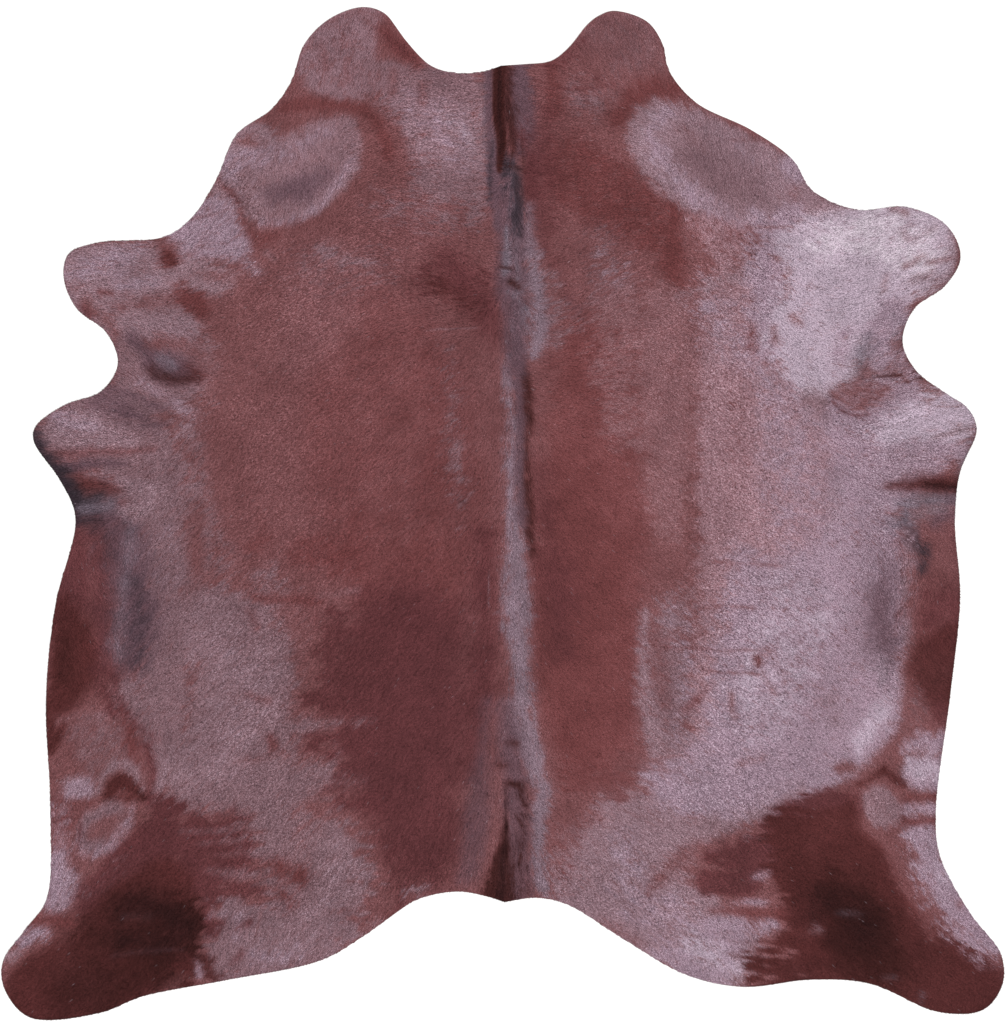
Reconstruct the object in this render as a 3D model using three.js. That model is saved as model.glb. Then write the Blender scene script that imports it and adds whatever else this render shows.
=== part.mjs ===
import * as THREE from "three";

// Cowhide rug: one tanned hide with its short coat on, lying flat on its flesh side.
// Millimetres, +Z up, neck towards +Y. The origin is on the floor, under the middle of the outline.
// The hide is lofted from ribs that run from the backbone out to the cut edge, left and right.

const backThickness = 5; // leather and lying coat along the backbone
const bellyThickness = 3.8; // at the cut edge, where hide and coat are thinner
const neckNotch = [-2, 940]; // where the backbone starts, [x, y]
const tailNotch = [5, -817]; // where it ends
const backboneBow = 26; // how far it bows to the right at half its length
const edgeStep = 48; // longest step along the cut edge
const fadeOut = 0.25; // a fold lower than this is flat on the floor

// One rib a row, from neck to tail: where it leaves the backbone, as a distance from the neck notch,
// and where it meets the left and the right cut edge, [x, y].
const ribs = [
  { name: "neck notch", along: 0, left: neckNotch, right: neckNotch },
  { name: "notch floor", along: 30, left: [-41, 927], right: [47, 943] },
  { name: "notch corner", along: 60, left: [-102, 925], right: [103, 950] },
  { name: "neck lobe foot", along: 100, left: [-153, 942], right: [139, 977] },
  { name: "neck lobe inner side", along: 225, left: [-209, 1001], right: [179, 1026] },
  { name: "neck lobe inner crown", along: 265, left: [-247, 1050], right: [202, 1044] },
  { name: "neck lobe tip", along: 300, left: [-293, 1063], right: [234, 1055] },
  { name: "neck lobe outer crown", along: 325, left: [-363, 1038], right: [304, 1033] },
  { name: "neck lobe outer side", along: 350, left: [-416, 984], right: [336, 988] },
  { name: "cheek", along: 375, left: [-443, 906], right: [351, 929] },
  { name: "cheek foot", along: 400, left: [-485, 848], right: [408, 862] },
  { name: "neck side", along: 425, left: [-557, 796], right: [523, 805] },
  { name: "shoulder top", along: 450, left: [-600, 701], right: [610, 743] },
  { name: "shoulder hollow", along: 475, left: [-648, 625], right: [652, 677] },
  { name: "foreleg root", along: 500, left: [-707, 581], right: [746, 637] },
  { name: "foreleg top", along: 525, left: [-850, 568], right: [849, 643] },
  { name: "foreleg corner", along: 548, left: [-910, 545], right: [934, 604] },
  { name: "foreleg tip", along: 572, left: [-921, 496], right: [963, 538] },
  { name: "foreleg underside", along: 596, left: [-894, 430], right: [931, 478] },
  { name: "armpit top", along: 622, left: [-831, 379], right: [866, 430] },
  { name: "armpit", along: 650, left: [-807, 314], right: [841, 360] },
  { name: "armpit foot", along: 682, left: [-842, 256], right: [870, 299] },
  { name: "elbow top", along: 715, left: [-919, 227], right: [933, 251] },
  { name: "elbow corner", along: 747, left: [-980, 182], right: [978, 220] },
  { name: "elbow tip", along: 780, left: [-984, 152], right: [997, 176] },
  { name: "elbow underside", along: 820, left: [-928, 68], right: [962, 87] },
  { name: "flank top", along: 875, left: [-896, -9], right: [951, -13] },
  { name: "flank hollow", along: 980, left: [-938, -192], right: [962, -175] },
  { name: "flank", along: 1105, left: [-958, -391], right: [942, -377] },
  { name: "stifle", along: 1215, left: [-949, -614], right: [911, -627] },
  { name: "hind leg root", along: 1290, left: [-957, -811], right: [920, -721] },
  { name: "hind leg flare", along: 1340, left: [-1001, -874], right: [985, -843] },
  { name: "hock", along: 1380, left: [-1049, -944], right: [1048, -927] },
  { name: "foot outer side", along: 1410, left: [-1045, -1000], right: [1051, -990] },
  { name: "foot", along: 1435, left: [-993, -1059], right: [1011, -1043] },
  { name: "foot inner side", along: 1460, left: [-846, -1050], right: [918, -1048] },
  { name: "hock inner side", along: 1490, left: [-755, -1015], right: [771, -988] },
  { name: "thigh inner side", along: 1522, left: [-585, -982], right: [649, -980] },
  { name: "buttock foot", along: 1560, left: [-380, -939], right: [505, -995] },
  { name: "buttock", along: 1597, left: [-289, -887], right: [385, -969] },
  { name: "rump", along: 1640, left: [-184, -814], right: [246, -889] },
  { name: "rump crest", along: 1680, left: [-94, -795], right: [137, -822] },
  { name: "tail side", along: 1718, left: [-33, -805], right: [72, -808] },
  { name: "tail notch", along: 1754, left: tailNotch, right: tailNotch },
];

// Where the sheet has its points along a rib, as shares of the way from the backbone to the cut edge.
const ribShares = [0, 0.04, 0.13, 0.29, 0.47, 0.64, 0.76, 0.84, 0.9, 0.95, 1];

// The main folds, where the loose skin of the belly and the legs lifts off the floor: a soft ridge
// along a straight crest, from one [x, y] to the other.
const folds = [
  { name: "left elbow fold", from: [-935, 150], to: [-775, 140], halfWidth: 30, height: 5 },
  { name: "left armpit fold", from: [-870, 20], to: [-740, 35], halfWidth: 28, height: 4.5 },
  { name: "left flank fold", from: [-800, -90], to: [-805, -390], halfWidth: 34, height: 4 },
  { name: "left stifle fold", from: [-838, -590], to: [-748, -590], halfWidth: 30, height: 5.5 },
  { name: "left thigh fold", from: [-868, -712], to: [-775, -640], halfWidth: 30, height: 4.5 },
  { name: "right elbow fold", from: [775, 120], to: [940, 112], halfWidth: 30, height: 5 },
  { name: "right armpit fold", from: [815, 10], to: [935, 22], halfWidth: 28, height: 4.5 },
  { name: "right flank fold", from: [845, -60], to: [838, -330], halfWidth: 34, height: 4 },
  { name: "right stifle fold", from: [755, -565], to: [845, -570], halfWidth: 30, height: 5.5 },
  { name: "right thigh fold", from: [770, -620], to: [850, -665], halfWidth: 30, height: 4.5 },
];

// The coat parts along the neck and lies thinner there.
const neckFurrow = { from: [-4, 935], to: [0, 730], halfWidth: 14, depth: 1.5 };

const mix = THREE.MathUtils.lerp;

// Point of the backbone at a distance from the neck notch: a straight line with one soft sideways bow.
function backbonePoint(along) {
  const share = along / ribs.at(-1).along;
  const bow = backboneBow * Math.sin(Math.PI * share);
  return [mix(neckNotch[0], tailNotch[0], share) + bow, mix(neckNotch[1], tailNotch[1], share)];
}

// The cut edge of one side as a smooth curve through its landmarks.
function cutEdge(side) {
  return new THREE.CatmullRomCurve3(ribs.map((rib) => new THREE.Vector3(...rib[side], 0)));
}

// Ribs at even steps between the landmarks: the start on the backbone and the end on each cut edge.
function closeRibs() {
  const edges = { left: cutEdge("left"), right: cutEdge("right") };
  const at = (side, place) => edges[side].getPoint(place / (ribs.length - 1));
  const rows = [];
  ribs.slice(1).forEach((rib, i) => {
    const span = Math.max(
      at("left", i).distanceTo(at("left", i + 1)),
      at("right", i).distanceTo(at("right", i + 1)),
    );
    const steps = Math.ceil(span / edgeStep);
    for (let step = i ? 1 : 0; step <= steps; step += 1) {
      const place = i + step / steps;
      const start = backbonePoint(mix(ribs[i].along, rib.along, step / steps));
      rows.push({ start, left: at("left", place), right: at("right", place) });
    }
  });
  return rows;
}

// Bell-shaped rise across a crest line, at a point of the floor.
function bellAcross(x, y, { from, to, halfWidth }) {
  const crest = new THREE.Line3(new THREE.Vector3(...from, 0), new THREE.Vector3(...to, 0));
  const point = new THREE.Vector3(x, y, 0);
  const away = crest.closestPointToPoint(point, true, new THREE.Vector3()).distanceTo(point);
  return Math.exp(-((away / halfWidth) ** 2));
}

// Height of the flesh side over the floor: nothing but under the folds.
function liftAt(x, y) {
  const rise = folds.reduce((sum, fold) => sum + fold.height * bellAcross(x, y, fold), 0);
  return Math.max(0, rise - fadeOut);
}

// Leather and coat together, thinning from the backbone to the cut edge.
function thicknessAt(x, y, share) {
  const round = Math.cos((share * Math.PI) / 2) ** 2;
  return mix(bellyThickness, backThickness, round) - neckFurrow.depth * bellAcross(x, y, neckFurrow);
}

// The hide as one closed sheet: hair side, flesh side and the cut edge between them.
function hideGeometry() {
  const rows = closeRibs();
  const lastRow = rows.length - 1;
  const lastShare = ribShares.length - 1;
  const positions = [];
  const triangles = [];
  const known = new Map();

  // The ribs at both notches are single points, and the two sides share the backbone.
  function corner(face, side, row, column) {
    const k = row === 0 || row === lastRow ? 0 : column;
    const key = [face, k ? side : "backbone", row, k].join();
    if (!known.has(key)) {
      const { start, [side]: end } = rows[row];
      const x = mix(start[0], end.x, ribShares[k]);
      const y = mix(start[1], end.y, ribShares[k]);
      const rise = face === "hair" ? thicknessAt(x, y, ribShares[k]) : 0;
      known.set(key, positions.length / 3);
      positions.push(x, y, liftAt(x, y) + rise);
    }
    return known.get(key);
  }

  // Two triangles between four corners, counter-clockwise from outside; one at the notches.
  function patch(corners, turned) {
    const [a, b, c, d] = turned ? corners.toReversed() : corners;
    for (const triangle of [[a, b, c], [a, c, d]]) {
      if (new Set(triangle).size === 3) triangles.push(...triangle);
    }
  }

  for (const side of ["left", "right"]) {
    for (let row = 0; row < lastRow; row += 1) {
      for (const face of ["hair", "flesh"]) {
        for (let k = 0; k < lastShare; k += 1) {
          const spots = [[row, k], [row + 1, k], [row + 1, k + 1], [row, k + 1]];
          const corners = spots.map(([r, column]) => corner(face, side, r, column));
          patch(corners, (side === "left") !== (face === "flesh"));
        }
      }
      const rim = [["flesh", row], ["hair", row], ["hair", row + 1], ["flesh", row + 1]];
      patch(rim.map(([face, r]) => corner(face, side, r, lastShare)), side === "left");
    }
  }

  const geometry = new THREE.BufferGeometry();
  geometry.setAttribute("position", new THREE.Float32BufferAttribute(positions, 3));
  geometry.setIndex(triangles);
  geometry.computeBoundingBox();
  const middle = geometry.boundingBox.getCenter(new THREE.Vector3());
  geometry.translate(-middle.x, -middle.y, 0);
  geometry.computeVertexNormals();
  return geometry;
}

const brownCoat = new THREE.MeshStandardMaterial({ color: 0x74433f, roughness: 0.62, metalness: 0 });

const hide = new THREE.Mesh(hideGeometry(), brownCoat);
hide.name = "hide";

const cowhideRug = new THREE.Group();
cowhideRug.add(hide);

export default cowhideRug;
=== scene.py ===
import math
import bpy
import numpy as np
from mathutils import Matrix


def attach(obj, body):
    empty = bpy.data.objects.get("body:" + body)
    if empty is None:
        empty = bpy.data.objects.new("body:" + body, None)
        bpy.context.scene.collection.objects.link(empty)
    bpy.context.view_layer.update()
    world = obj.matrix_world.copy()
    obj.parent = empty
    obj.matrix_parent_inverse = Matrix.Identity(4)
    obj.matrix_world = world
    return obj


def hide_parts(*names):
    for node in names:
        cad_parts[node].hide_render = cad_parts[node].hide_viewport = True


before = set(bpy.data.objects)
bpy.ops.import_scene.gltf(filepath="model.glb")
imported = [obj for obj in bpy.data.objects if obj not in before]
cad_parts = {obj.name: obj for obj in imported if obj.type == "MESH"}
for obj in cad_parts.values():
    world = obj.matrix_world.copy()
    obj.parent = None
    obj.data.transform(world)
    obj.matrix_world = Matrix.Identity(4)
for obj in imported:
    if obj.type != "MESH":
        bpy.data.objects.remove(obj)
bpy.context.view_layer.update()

cm = 0.01  # the tables are in centimetres: x to the right of the backbone, y towards the neck

# Tones of the coat, as sRGB. The browns down to near black are its own colour, and painted shade where the
# rows lay them in folds, creases and hollows. Mauve, rose, flush, ruddy, heather, lilac, pale lilac and glint
# are painted sheen, where the hair catches the light, glint its brightest highlight. Ash, slate and navy are
# greyed darks for the backbone, and painted shade in hollows, folds and whorls.
tones = {
    "brown": "#76484a",
    "paleBrown": "#815154",
    "warmBrown": "#744041",
    "redBrown": "#6c3b3c",
    "deepBrown": "#5d3235",
    "maroon": "#502727",
    "darkMaroon": "#391a19",
    "nearBlack": "#261112",
    "mauve": "#7c5b62",
    "rose": "#8b6a73",
    "flush": "#976d75",
    "ruddy": "#86595d",
    "heather": "#7d6672",
    "lilac": "#9c7f8f",
    "paleLilac": "#baa5b5",
    "ash": "#614750",
    "slate": "#70626e",
    "navy": "#362c33",
    "glint": "#d8c8d4",
}

# Which way the hair lies: a place, the way the tips point there, and how far round it that holds.
combing = [
    ("left neck", (-10, 82), (-1, 0.12), 10),
    ("left withers", (-12, 55), (-1, 0.28), 14),
    ("left neck lobe", (-32, 98), (-0.3, -1), 9),
    ("left brow", (-24, 76), (-1, -0.3), 6),
    ("left cheek", (-43, 68), (0.12, -1), 8),
    ("left cheek front", (-54, 74), (-0.8, -0.6), 6),
    ("left armhole", (-60, 60), (-0.6, -0.8), 7),
    ("left foreleg", (-80, 51), (-1, 0.15), 12),
    ("left foreleg root", (-62, 48), (-0.9, -0.5), 8),
    ("left armpit", (-72, 33), (-0.6, 0.7), 8),
    ("left elbow", (-86, 17), (-1, 0.2), 10),
    ("left elbow crease", (-84, 5), (-1, -0.1), 7),
    ("left shoulder", (-40, 42), (-0.85, -0.4), 16),
    ("left rib cage", (-35, 10), (-0.8, -0.6), 20),
    ("left back", (-14, 15), (-0.75, -0.65), 14),
    ("left side", (-58, 5), (-0.72, -0.7), 16),
    ("left flank field", (-58, -30), (-0.78, -0.62), 20),
    ("left whorl inside", (-74, -14), (-0.5, -0.85), 6),
    ("left whorl inside, low", (-73, -28), (-0.5, -0.85), 6),
    ("left whorl ridge", (-79, -8), (0.05, -1), 4),
    ("left whorl outside", (-84, -14), (0.6, -0.75), 5),
    ("left whorl outside, low", (-85, -28), (0.55, -0.8), 5),
    ("left flank edge", (-91, -20), (-0.4, -0.9), 5),
    ("left stifle", (-84, -48), (-0.5, -0.85), 8),
    ("left stifle teeth", (-74, -50), (0.75, -0.5), 4),
    ("left loin", (-22, -30), (-0.72, -0.7), 22),
    ("left rump", (-22, -68), (-0.6, -0.8), 14),
    ("left thigh", (-50, -72), (-0.65, -0.75), 14),
    ("left hind leg", (-78, -88), (-0.75, -0.65), 16),
    ("left hind leg inside", (-58, -92), (-0.35, -0.95), 9),
    ("left leg edge", (-93, -72), (-0.1, -1), 9),
    ("backbone, neck", (0, 84), (0, -1), 4),
    ("backbone, withers", (2, 62), (0.15, -1), 5),
    ("backbone, back", (3, 40), (0.25, -1), 6),
    ("backbone, ribs", (2, 15), (0.05, -1), 7),
    ("backbone, loin", (3, -15), (0.1, -1), 8),
    ("backbone, rump", (3, -50), (0.1, -1), 8),
    ("tail", (1, -76), (0, -1), 7),
    ("right neck", (12, 84), (1, -0.05), 10),
    ("right withers", (17, 62), (1, 0.18), 10),
    ("right shoulder front", (17, 48), (0.85, 0.5), 11),
    ("right back", (14, 26), (0.85, 0.1), 9),
    ("right neck lobe", (26, 98), (0.3, -1), 9),
    ("right brow", (27, 80), (1, -0.2), 6),
    ("right cheek", (47, 71), (0.1, -1), 9),
    ("right cheek rim", (33, 75), (0.75, -0.65), 5),
    ("right armhole", (62, 60), (0.8, -0.5), 8),
    ("right foreleg", (82, 56), (0.95, 0.4), 12),
    ("right shoulder", (50, 46), (0.85, -0.5), 13),
    ("right armpit", (79, 36), (0.75, 0.5), 8),
    ("right elbow", (86, 19), (1, 0.1), 10),
    ("right elbow crease", (86, 6), (1, -0.15), 7),
    ("right side", (58, 12), (0.8, -0.58), 18),
    ("right rib cage", (26, 0), (0.8, -0.55), 16),
    ("right flank field", (56, -28), (0.82, -0.55), 20),
    ("right whorl inside", (76, -16), (0.55, -0.8), 6),
    ("right whorl ridge", (82, -12), (0, -1), 4),
    ("right whorl outside", (86, -18), (-0.6, -0.75), 4),
    ("right flank edge", (92, -22), (0.4, -0.9), 5),
    ("right loin", (20, -32), (0.72, -0.7), 16),
    ("right rump", (22, -66), (0.75, -0.66), 14),
    ("right thigh", (50, -70), (0.75, -0.66), 14),
    ("right stifle", (82, -54), (0.5, -0.85), 8),
    ("right hind leg", (80, -90), (0.8, -0.6), 15),
    ("right hind leg inside", (57, -92), (0.55, -0.83), 8),
    ("right leg edge", (92, -76), (0.45, -0.9), 8),
]

# How a stroke is laid on: how far its border fades, how far it wanders in large, how far the hair makes it
# ragged and the small wrinkles across the hide tear it, and how much it breaks up lock by lock.
strokes = {
    "haze": dict(soft=5, wander=1, ragged=1.8, torn=0.5, broken=0.3),
    "field": dict(soft=4, wander=0.8, ragged=2.2, torn=1, broken=0.9),
    "torn": dict(soft=1, wander=0.4, ragged=0.9, torn=3.2, broken=0.4),
    "shreds": dict(soft=2.4, wander=0.6, ragged=1.2, torn=5, broken=0.7),
    "wash": dict(soft=2, wander=0.4, ragged=1.3, torn=0.3, broken=0.7),
    "shade": dict(soft=2, wander=0.3, ragged=1, torn=0, broken=0.2),
    "patch": dict(soft=1, wander=0.2, ragged=0.8, torn=0, broken=0.4),
    "fleck": dict(soft=0.7, wander=0, ragged=0.5, torn=0, broken=0.25),
    "line": dict(soft=0.35, wander=0, ragged=0.15, torn=0, broken=0),
}

# The markings, in the order in which they are laid on in each part of the hide: name, tone, kind of stroke,
# amount, and path as (x, y, half width). Besides the coat's own brown markings, the rows paint its sheen,
# where the hair catches the light, and the shade in its folds, creases and hollows.
# Ground tones of the back, the shoulders and the loin; the light mauve back seam is painted sheen.
baseMarks = [
    ("warm right side", "warmBrown", "haze", 0.9, [(20, 34, 9), (19, 0, 11), (19, -30, 11), (20, -46, 8)]),
    ("warm left side", "warmBrown", "haze", 0.5, [(-28, 36, 14), (-26, 10, 16)]),
    ("left back", "redBrown", "haze", 0.6, [(-12, 30, 5), (-10, 4, 7), (-12, -10, 9)]),
    ("shoulder, light", "paleBrown", "haze", 0.8, [(-37, 54, 4), (-38, 44, 8), (-43, 34, 5)]),
    ("shoulder, dark side", "deepBrown", "haze", 0.85,
     [(-12, 54, 2.4), (-8, 48, 4), (-3, 43, 3), (-1.6, 38, 1.4)]),
    ("back seam, light", "mauve", "field", 0.4, [(-11, 34, 2), (-10, 12, 2.4), (-9, -2, 2)]),
    ("loin shade, top", "redBrown", "haze", 0.7, [(-30, -8, 7), (-20, -16, 12)]),
    ("loin shade", "deepBrown", "haze", 0.95,
     [(-20, -26, 12), (-22, -42, 14), (-19, -60, 10), (-17, -71, 8)]),
    ("loin shade, left", "redBrown", "wash", 0.6, [(-42, -8, 3.4), (-33, -10, 4)]),
    ("loin shade, right", "deepBrown", "haze", 0.9,
     [(-3.4, -5, 2.4), (-4, -12, 3), (-4, -30, 3.4), (-5.6, -44, 3.4), (-6.6, -52, 3)]),
    ("rib shade", "redBrown", "haze", 0.85, [(16, 8, 5), (15, -24, 9), (16, -46, 7)]),
    ("rib shade, inner", "deepBrown", "haze", 0.75,
     [(8.2, 9, 1.6), (9.4, -4, 2), (12, -16, 4), (12, -28, 3)]),
    ("shoulder shade", "deepBrown", "field", 0.55, [(-16, 48, 4), (-6, 47, 5)]),
    ("right shoulder brown", "redBrown", "field", 0.7, [(15, 72, 8), (28, 62, 7), (31, 57, 3)]),
]

# The backbone, from the parting on the neck to the tail root. The heather, mauve and lilac sheen and gleam
# rows are painted sheen, and the neck parting and crown folds are painted shade in those creases.
backMarks = [
    ("back sheen", "heather", "wash", 0.85,
     [(1.4, 33, 0.8), (1.8, 22, 1), (2.1, 6, 1.2), (2.5, -4, 1.6), (2.8, -12, 2.5), (3, -22, 2.9),
      (3.8, -32, 2.3), (4.2, -42, 2.4), (5.6, -50, 2.6), (8.6, -58, 2), (7.4, -66, 2), (8, -79, 1.5)]),
    ("back gleam", "lilac", "patch", 0.3,
     [(1.7, 26, 0.5), (2, 6, 0.6), (1.6, -12, 0.8), (2.6, -22, 1.3), (3.6, -32, 0.9)]),
    ("back rim", "darkMaroon", "patch", 0.75,
     [(4.6, 33, 0.9), (5.2, 22, 1.4), (5.2, 14, 0.5), (5.6, 6, 1.1), (5.6, -3, 0.8), (6.2, -9, 0.3)]),
    ("back slate", "ash", "patch", 0.9, [(3.4, 29, 1), (3.8, 15, 1), (4.2, -2, 0.8)]),
    ("rump wash, left", "ash", "shade", 0.6,
     [(-3, -40, 0.8), (-4, -50, 1.6), (-5, -62, 2.8), (-7, -76, 2.4)]),
    ("rump wash, middle", "ash", "shade", 0.8, [(1, -40, 1.6), (2, -50, 2.6), (3, -60, 2.8), (3, -79, 3)]),
    ("rump wash, right", "ash", "wash", 0.5, [(4.4, -57, 1), (4.8, -64, 1.6), (4, -76, 1.6)]),
    ("rump dusk", "darkMaroon", "wash", 0.45,
     [(5, -58, 1.6), (4.6, -63, 1.8), (3.6, -70, 1.8), (3.6, -79, 1.8)]),
    ("tail root", "darkMaroon", "patch", 0.8, [(0.9, -64, 0.5), (0.2, -72, 1.8), (-1, -80, 3.4)]),
    ("tail line", "nearBlack", "fleck", 0.55,
     [(0.8, -58, 0.25), (0.8, -68, 0.4), (0, -74, 0.7), (-0.4, -81, 0.8)]),
    ("rump spot 1", "darkMaroon", "fleck", 0.65, [(1.6, -48.2, 0.6), (3.2, -48.6, 0.6)]),
    ("rump spot 2", "darkMaroon", "fleck", 0.6, [(-0.6, -53, 0.6), (0.7, -53.2, 0.5)]),
    ("rump spot 3", "darkMaroon", "fleck", 0.8, [(1.2, -56.8, 0.7), (4, -57, 0.7)]),
    ("withers shade", "ash", "shade", 0.9, [(0.8, 73, 2.4), (1.6, 60, 3), (2.4, 46, 3), (3.2, 31, 2.4)]),
    ("withers sheen", "heather", "wash", 0.9,
     [(5.6, 65, 0.8), (6, 54, 1.6), (7.6, 46, 1.9), (7.8, 38, 2), (7, 33, 0.9)]),
    ("withers sheen, right", "mauve", "field", 0.5, [(11, 49, 1.6), (11.4, 36, 1.8)]),
    ("withers gleam", "lilac", "wash", 0.15, [(5, 62, 0.7), (6.4, 52, 1.4), (7.6, 40, 1.3), (6.8, 33, 0.8)]),
    ("withers gleam, left", "slate", "fleck", 0.8, [(0.6, 60, 0.5), (1.2, 54, 0.9), (0.8, 50, 0.6)]),
    ("withers slate", "slate", "wash", 0.6, [(2, 72, 1), (3, 60, 1.4), (3.4, 45, 1.4), (3.6, 34, 1)]),
    ("withers dusk", "ash", "wash", 0.6, [(3.4, 63, 1.2), (4, 55, 1.6), (4.6, 49, 1)]),
    ("withers core", "navy", "wash", 0.9,
     [(-0.2, 66, 0.9), (0.4, 70, 1.2), (1.4, 73, 1.6), (3, 72, 1.4), (3, 63, 1), (2.9, 59, 0.5)]),
    ("withers core, low", "ash", "patch", 0.8, [(3, 44, 0.7), (3.4, 38, 1), (4.4, 31, 0.9)]),
    ("withers spot", "darkMaroon", "fleck", 0.85, [(2.3, 48.4, 0.7), (3.3, 47.6, 0.6)]),
    ("withers bar", "darkMaroon", "line", 0.6, [(0, 51.6, 0.3), (2.8, 51.2, 0.3)]),
    ("left neck strip", "ash", "patch", 0.95, [(-3, 94, 1.2), (-2.4, 82, 1.2), (-1.4, 72, 1.6), (-1, 60, 1)]),
    ("left neck strip, slate", "slate", "line", 0.25, [(-3.9, 92, 0.3), (-3.4, 80, 0.3), (-2.6, 66, 0.3)]),
    ("left neck strip, end", "navy", "fleck", 0.6, [(-2, 78, 0.4), (-2.6, 66, 0.5)]),
    ("right neck strip", "ash", "wash", 0.9, [(3, 95, 2), (4, 84, 3), (4.4, 76, 2.6)]),
    ("right neck dusk", "deepBrown", "haze", 0.6, [(9, 84, 1.6), (8, 76, 3), (8, 68, 3), (9, 60, 2)]),
    ("right neck strip, shade", "darkMaroon", "patch", 0.7, [(1.2, 94, 0.8), (1.5, 85, 1.2), (2.4, 76, 1.4)]),
    ("crown shade", "deepBrown", "wash", 0.9, [(4, 80, 0.8), (6, 73, 1.8), (5.4, 67, 1)]),
    ("neck parting", "darkMaroon", "line", 0.97,
     [(-0.7, 95, 1.5), (-0.6, 86, 1.3), (-0.3, 78, 1.1), (-0.2, 72, 0.6)]),
    ("neck parting, core", "nearBlack", "line", 0.6, [(-0.5, 94, 0.4), (-0.3, 76, 0.4)]),
    ("crown fold", "darkMaroon", "line", 0.65, [(1, 73, 0.3), (3, 72.6, 0.3), (4.6, 71.6, 0.3)]),
    ("crown fold, right", "darkMaroon", "line", 0.5, [(4.2, 78, 0.25), (4.5, 73, 0.25)]),
    ("loin scar", "rose", "line", 0.6, [(-2.8, -12.8, 0.2), (-2.8, -19.6, 0.25)]),
]

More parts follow.
